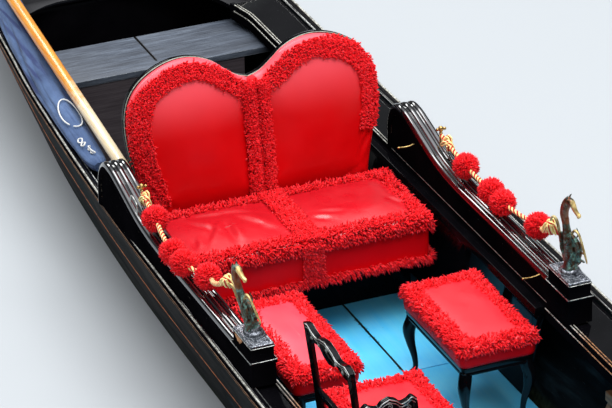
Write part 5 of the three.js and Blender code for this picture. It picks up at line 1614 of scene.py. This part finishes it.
# Along the cover: its middle, half its width and half its height.
COVER = [
    [-3180, -344, 566, 36, 22], [-3150, -346, 564, 50, 32], [-3080, -348, 560, 56, 38],
    [-2700, -378, 520, 66, 44], [-2300, -420, 500, 66, 44], [-1900, -458, 488, 52, 38],
    [-1560, -476, 476, 44, 27], [-1500, -479, 479, 34, 25], [-1480, -480, 480, 24, 20],
]
TIE_THICK = 6 * MM
TIE_ENDS = ((-1640, -496, 512, 1), (-1575, -480, 507, -1))


def oar():
    a = np.linspace(0, 2 * np.pi, 20, endpoint=False)
    rings = []
    for t, wide, deep in spline(OAR, 90):
        c = OAR_FORE + (OAR_AFT - OAR_FORE) * min(max(t, 0), 1)
        rings.append(np.stack([np.full(20, c[0]), c[1] + wide * np.cos(a), c[2] + deep * np.sin(a)], axis=1))
    Shape().loft(np.array(rings) * MM).make("oar_wood", OAR_WOOD, replaces=("oar",), smooth=50)


def cover():
    """The rolled cover: lengthwise folds that wander as they run."""
    line = spline(COVER, 210)
    turn = np.linspace(0, 2 * np.pi, 108, endpoint=False)
    rings = []
    for x, y, z, a, b in line:
        t = (x + 3180) / 1700
        broad = np.abs(np.sin(2.0 * turn + 2.2 * t + 0.7 * math.sin(8 * t))) ** 0.8
        narrow = np.abs(np.sin(4.5 * turn - 5 * t + 1.1 * math.sin(6 * t + 1))) ** 0.7
        small = np.sin(13 * turn + 15 * t) * math.sin(19 * t + 2)
        r = 0.80 + 0.15 * broad + 0.10 * narrow + 0.015 * small + 0.02 * math.sin(23 * t + 1)
        across, up = y + a * r * np.cos(turn), z + b * r * np.sin(turn)
        rings.append(np.stack([np.full(len(turn), x), across, up], axis=1))
    shape = Shape().loft(np.array(rings) * MM)
    piece = shape.make("cover_cloth", CANVAS, replaces=("cover_roll",), smooth=60)
    tie(line)


def tie(line):
    """The white cord that ties the roll, its loop laid on top, and two small bows."""
    turn = np.linspace(-0.4, 1.75 * np.pi, 150)
    x, off = -1875 + 112 * np.cos(turn), 38 * np.sin(turn)
    y, z, a, b = (np.interp(x, line[:, 0], line[:, k]) for k in (1, 2, 3, 4))
    arch = 1.03 * b * np.sqrt(1 - (off / (1.06 * a)) ** 2)
    path = np.stack([x, y + off, z + arch + TIE_THICK / MM], axis=1) * MM
    piece = Shape().tube(path, TIE_THICK / 2, 8).make("cover_tie", ROPE, smooth=60)
    bows = Shape()
    for *place, turn in TIE_ENDS:
        for way in (-1, 1):
            bow = [[0, 0, 0], [18 * way, 7 * turn, 9], [30 * way, -4 * turn, 3], [16 * way, -9, -2]]
            bows.tube(spline(np.array(place) + [*bow, bow[0]], 30) * MM, TIE_THICK / 2, 7)
    bows.make("cover_bows", ROPE, smooth=60)


def deck_beads(name):
    """Two half-round mouldings along the side deck's lip and one on the panel below it."""
    co = np.array([v.co for v in NODES["side_deck_" + name].data.vertices])
    rows = []
    for x in sorted(set(np.round(co[:, 0], 4))):
        at = co[np.abs(co[:, 0] - x) < 1e-4]
        z = at[:, 2].max()
        if abs(z - (sheer(x) - 2 * MM)) > 3 * MM:
            continue
        inner = np.abs(at[np.abs(at[:, 2] - z) < 1e-4][:, 1]).min()
        if not rows or abs(inner - rows[-1][1]) < 0.4 * (x - rows[-1][0]) + 1 * MM:
            rows.append([x, inner, z])
    xs, ys, zs = np.array(rows).T
    at = np.arange(xs[0] + 0.03, xs[-1] - 0.03, 0.05)
    y, z = np.interp(at, xs, ys), np.interp(at, xs, zs)
    shape = Shape()
    for off, up, r in ((3, 0.8, 2.5), (15, 0.6, 2.1), (-1, -26, 2.4)):
        shape.tube(np.stack([at, SIDES[name] * (y + off * MM), z + up * MM], axis=1), r * MM, 8)
    # Their pale colour is a painted highlight; forward they show bare, worn wood.
    shape.make("deck_beads_" + name, LIP_BEAD_HIGHLIGHT_AND_WEAR, smooth=60)


oar()
cover()
for name in SIDES:
    deck_beads(name)


# Setting
FLOOR_OPENING, FLOOR_REACH = (-3.66, 3.74), 30


def studio_floor():
    """A pale floor at the water's level, open where the hull goes through it."""
    xs = np.linspace(*FLOOR_OPENING, 80)
    port = [(x, outer_half("port", x, 0.0) - 6 * MM, 0) for x in xs]
    starboard = [(x, -outer_half("starboard", x, 0.0) + 6 * MM, 0) for x in xs[::-1]]
    inner = np.array(port + starboard)
    far = FLOOR_REACH / np.maximum(np.hypot(inner[:, 0] / 3, inner[:, 1]), 1e-6)
    n = len(inner)
    faces = [(i, (i + 1) % n, n + (i + 1) % n, n + i) for i in range(n)]
    mesh = bpy.data.meshes.new("floor")
    mesh.from_pydata([tuple(v) for v in np.vstack([inner, inner * far[:, None]])], [], faces)
    mesh.materials.append(Look("pale_floor", 0.8, Base_Color=srgb(170, 174, 176)).mat)
    floor = bpy.data.objects.new("floor", mesh)
    scene.collection.objects.link(floor)


# Each soft box: its place, what it faces, its two sizes and its power.
LIGHTS = {
    "key": ((2.6, 2.4, 9), (-0.8, 0, 0.5), (5, 4), 430),
    "front": ((10, -3, 7), (-0.8, 0, 0.5), (7, 5), 195),
    "rear": ((-11, -0.7, 7.4), (0, 0, 0.5), (4.4, 1.7), 270),
    "rear_high": ((-6.6, -0.5, 8.8), (-0.8, 0, 0.5), (4.0, 1.8), 180),
}
SKY_POWER = 2.9
# The sky's brightness from straight down to straight up.
SKY = ((0.50, 0.04), (0.62, 0.11), (0.76, 0.55), (0.90, 1.0))


def light(name, place, target, size, power):
    data = bpy.data.lights.new(name, "AREA")
    data.shape, data.size, data.size_y, data.energy = "RECTANGLE", size[0], size[1], power
    lamp = bpy.data.objects.new(name, data)
    lamp.location = place
    lamp.rotation_euler = (Vector(target) - Vector(place)).to_track_quat("-Z", "Y").to_euler()
    scene.collection.objects.link(lamp)


def sky():
    """White overhead and dark towards the horizon, as in a yard with high walls."""
    world = bpy.data.worlds.new("sky")
    scene.world = world
    world.use_nodes = True
    tree = world.node_tree
    place = tree.nodes.new("ShaderNodeTexCoord")
    split = tree.nodes.new("ShaderNodeSeparateXYZ")
    made = tree.nodes.new("ShaderNodeValToRGB")
    band = made.color_ramp
    band.elements[0].position, band.elements[0].color = 0.0, (0.04, 0.045, 0.045, 1)
    band.elements[1].position, band.elements[1].color = 1.0, (1.0, 1.03, 1.08, 1)
    for position, value in SKY:
        band.elements.new(position).color = (value, value * 1.02, value * 1.07, 1)
    tree.links.new(place.outputs["Generated"], split.inputs[0])
    tree.links.new(split.outputs["Z"], made.inputs["Fac"])
    back = tree.nodes["Background"]
    tree.links.new(made.outputs["Color"], back.inputs["Color"])
    back.inputs["Strength"].default_value = SKY_POWER


studio_floor()
sky()
for name, row in LIGHTS.items():
    light(name, *row)
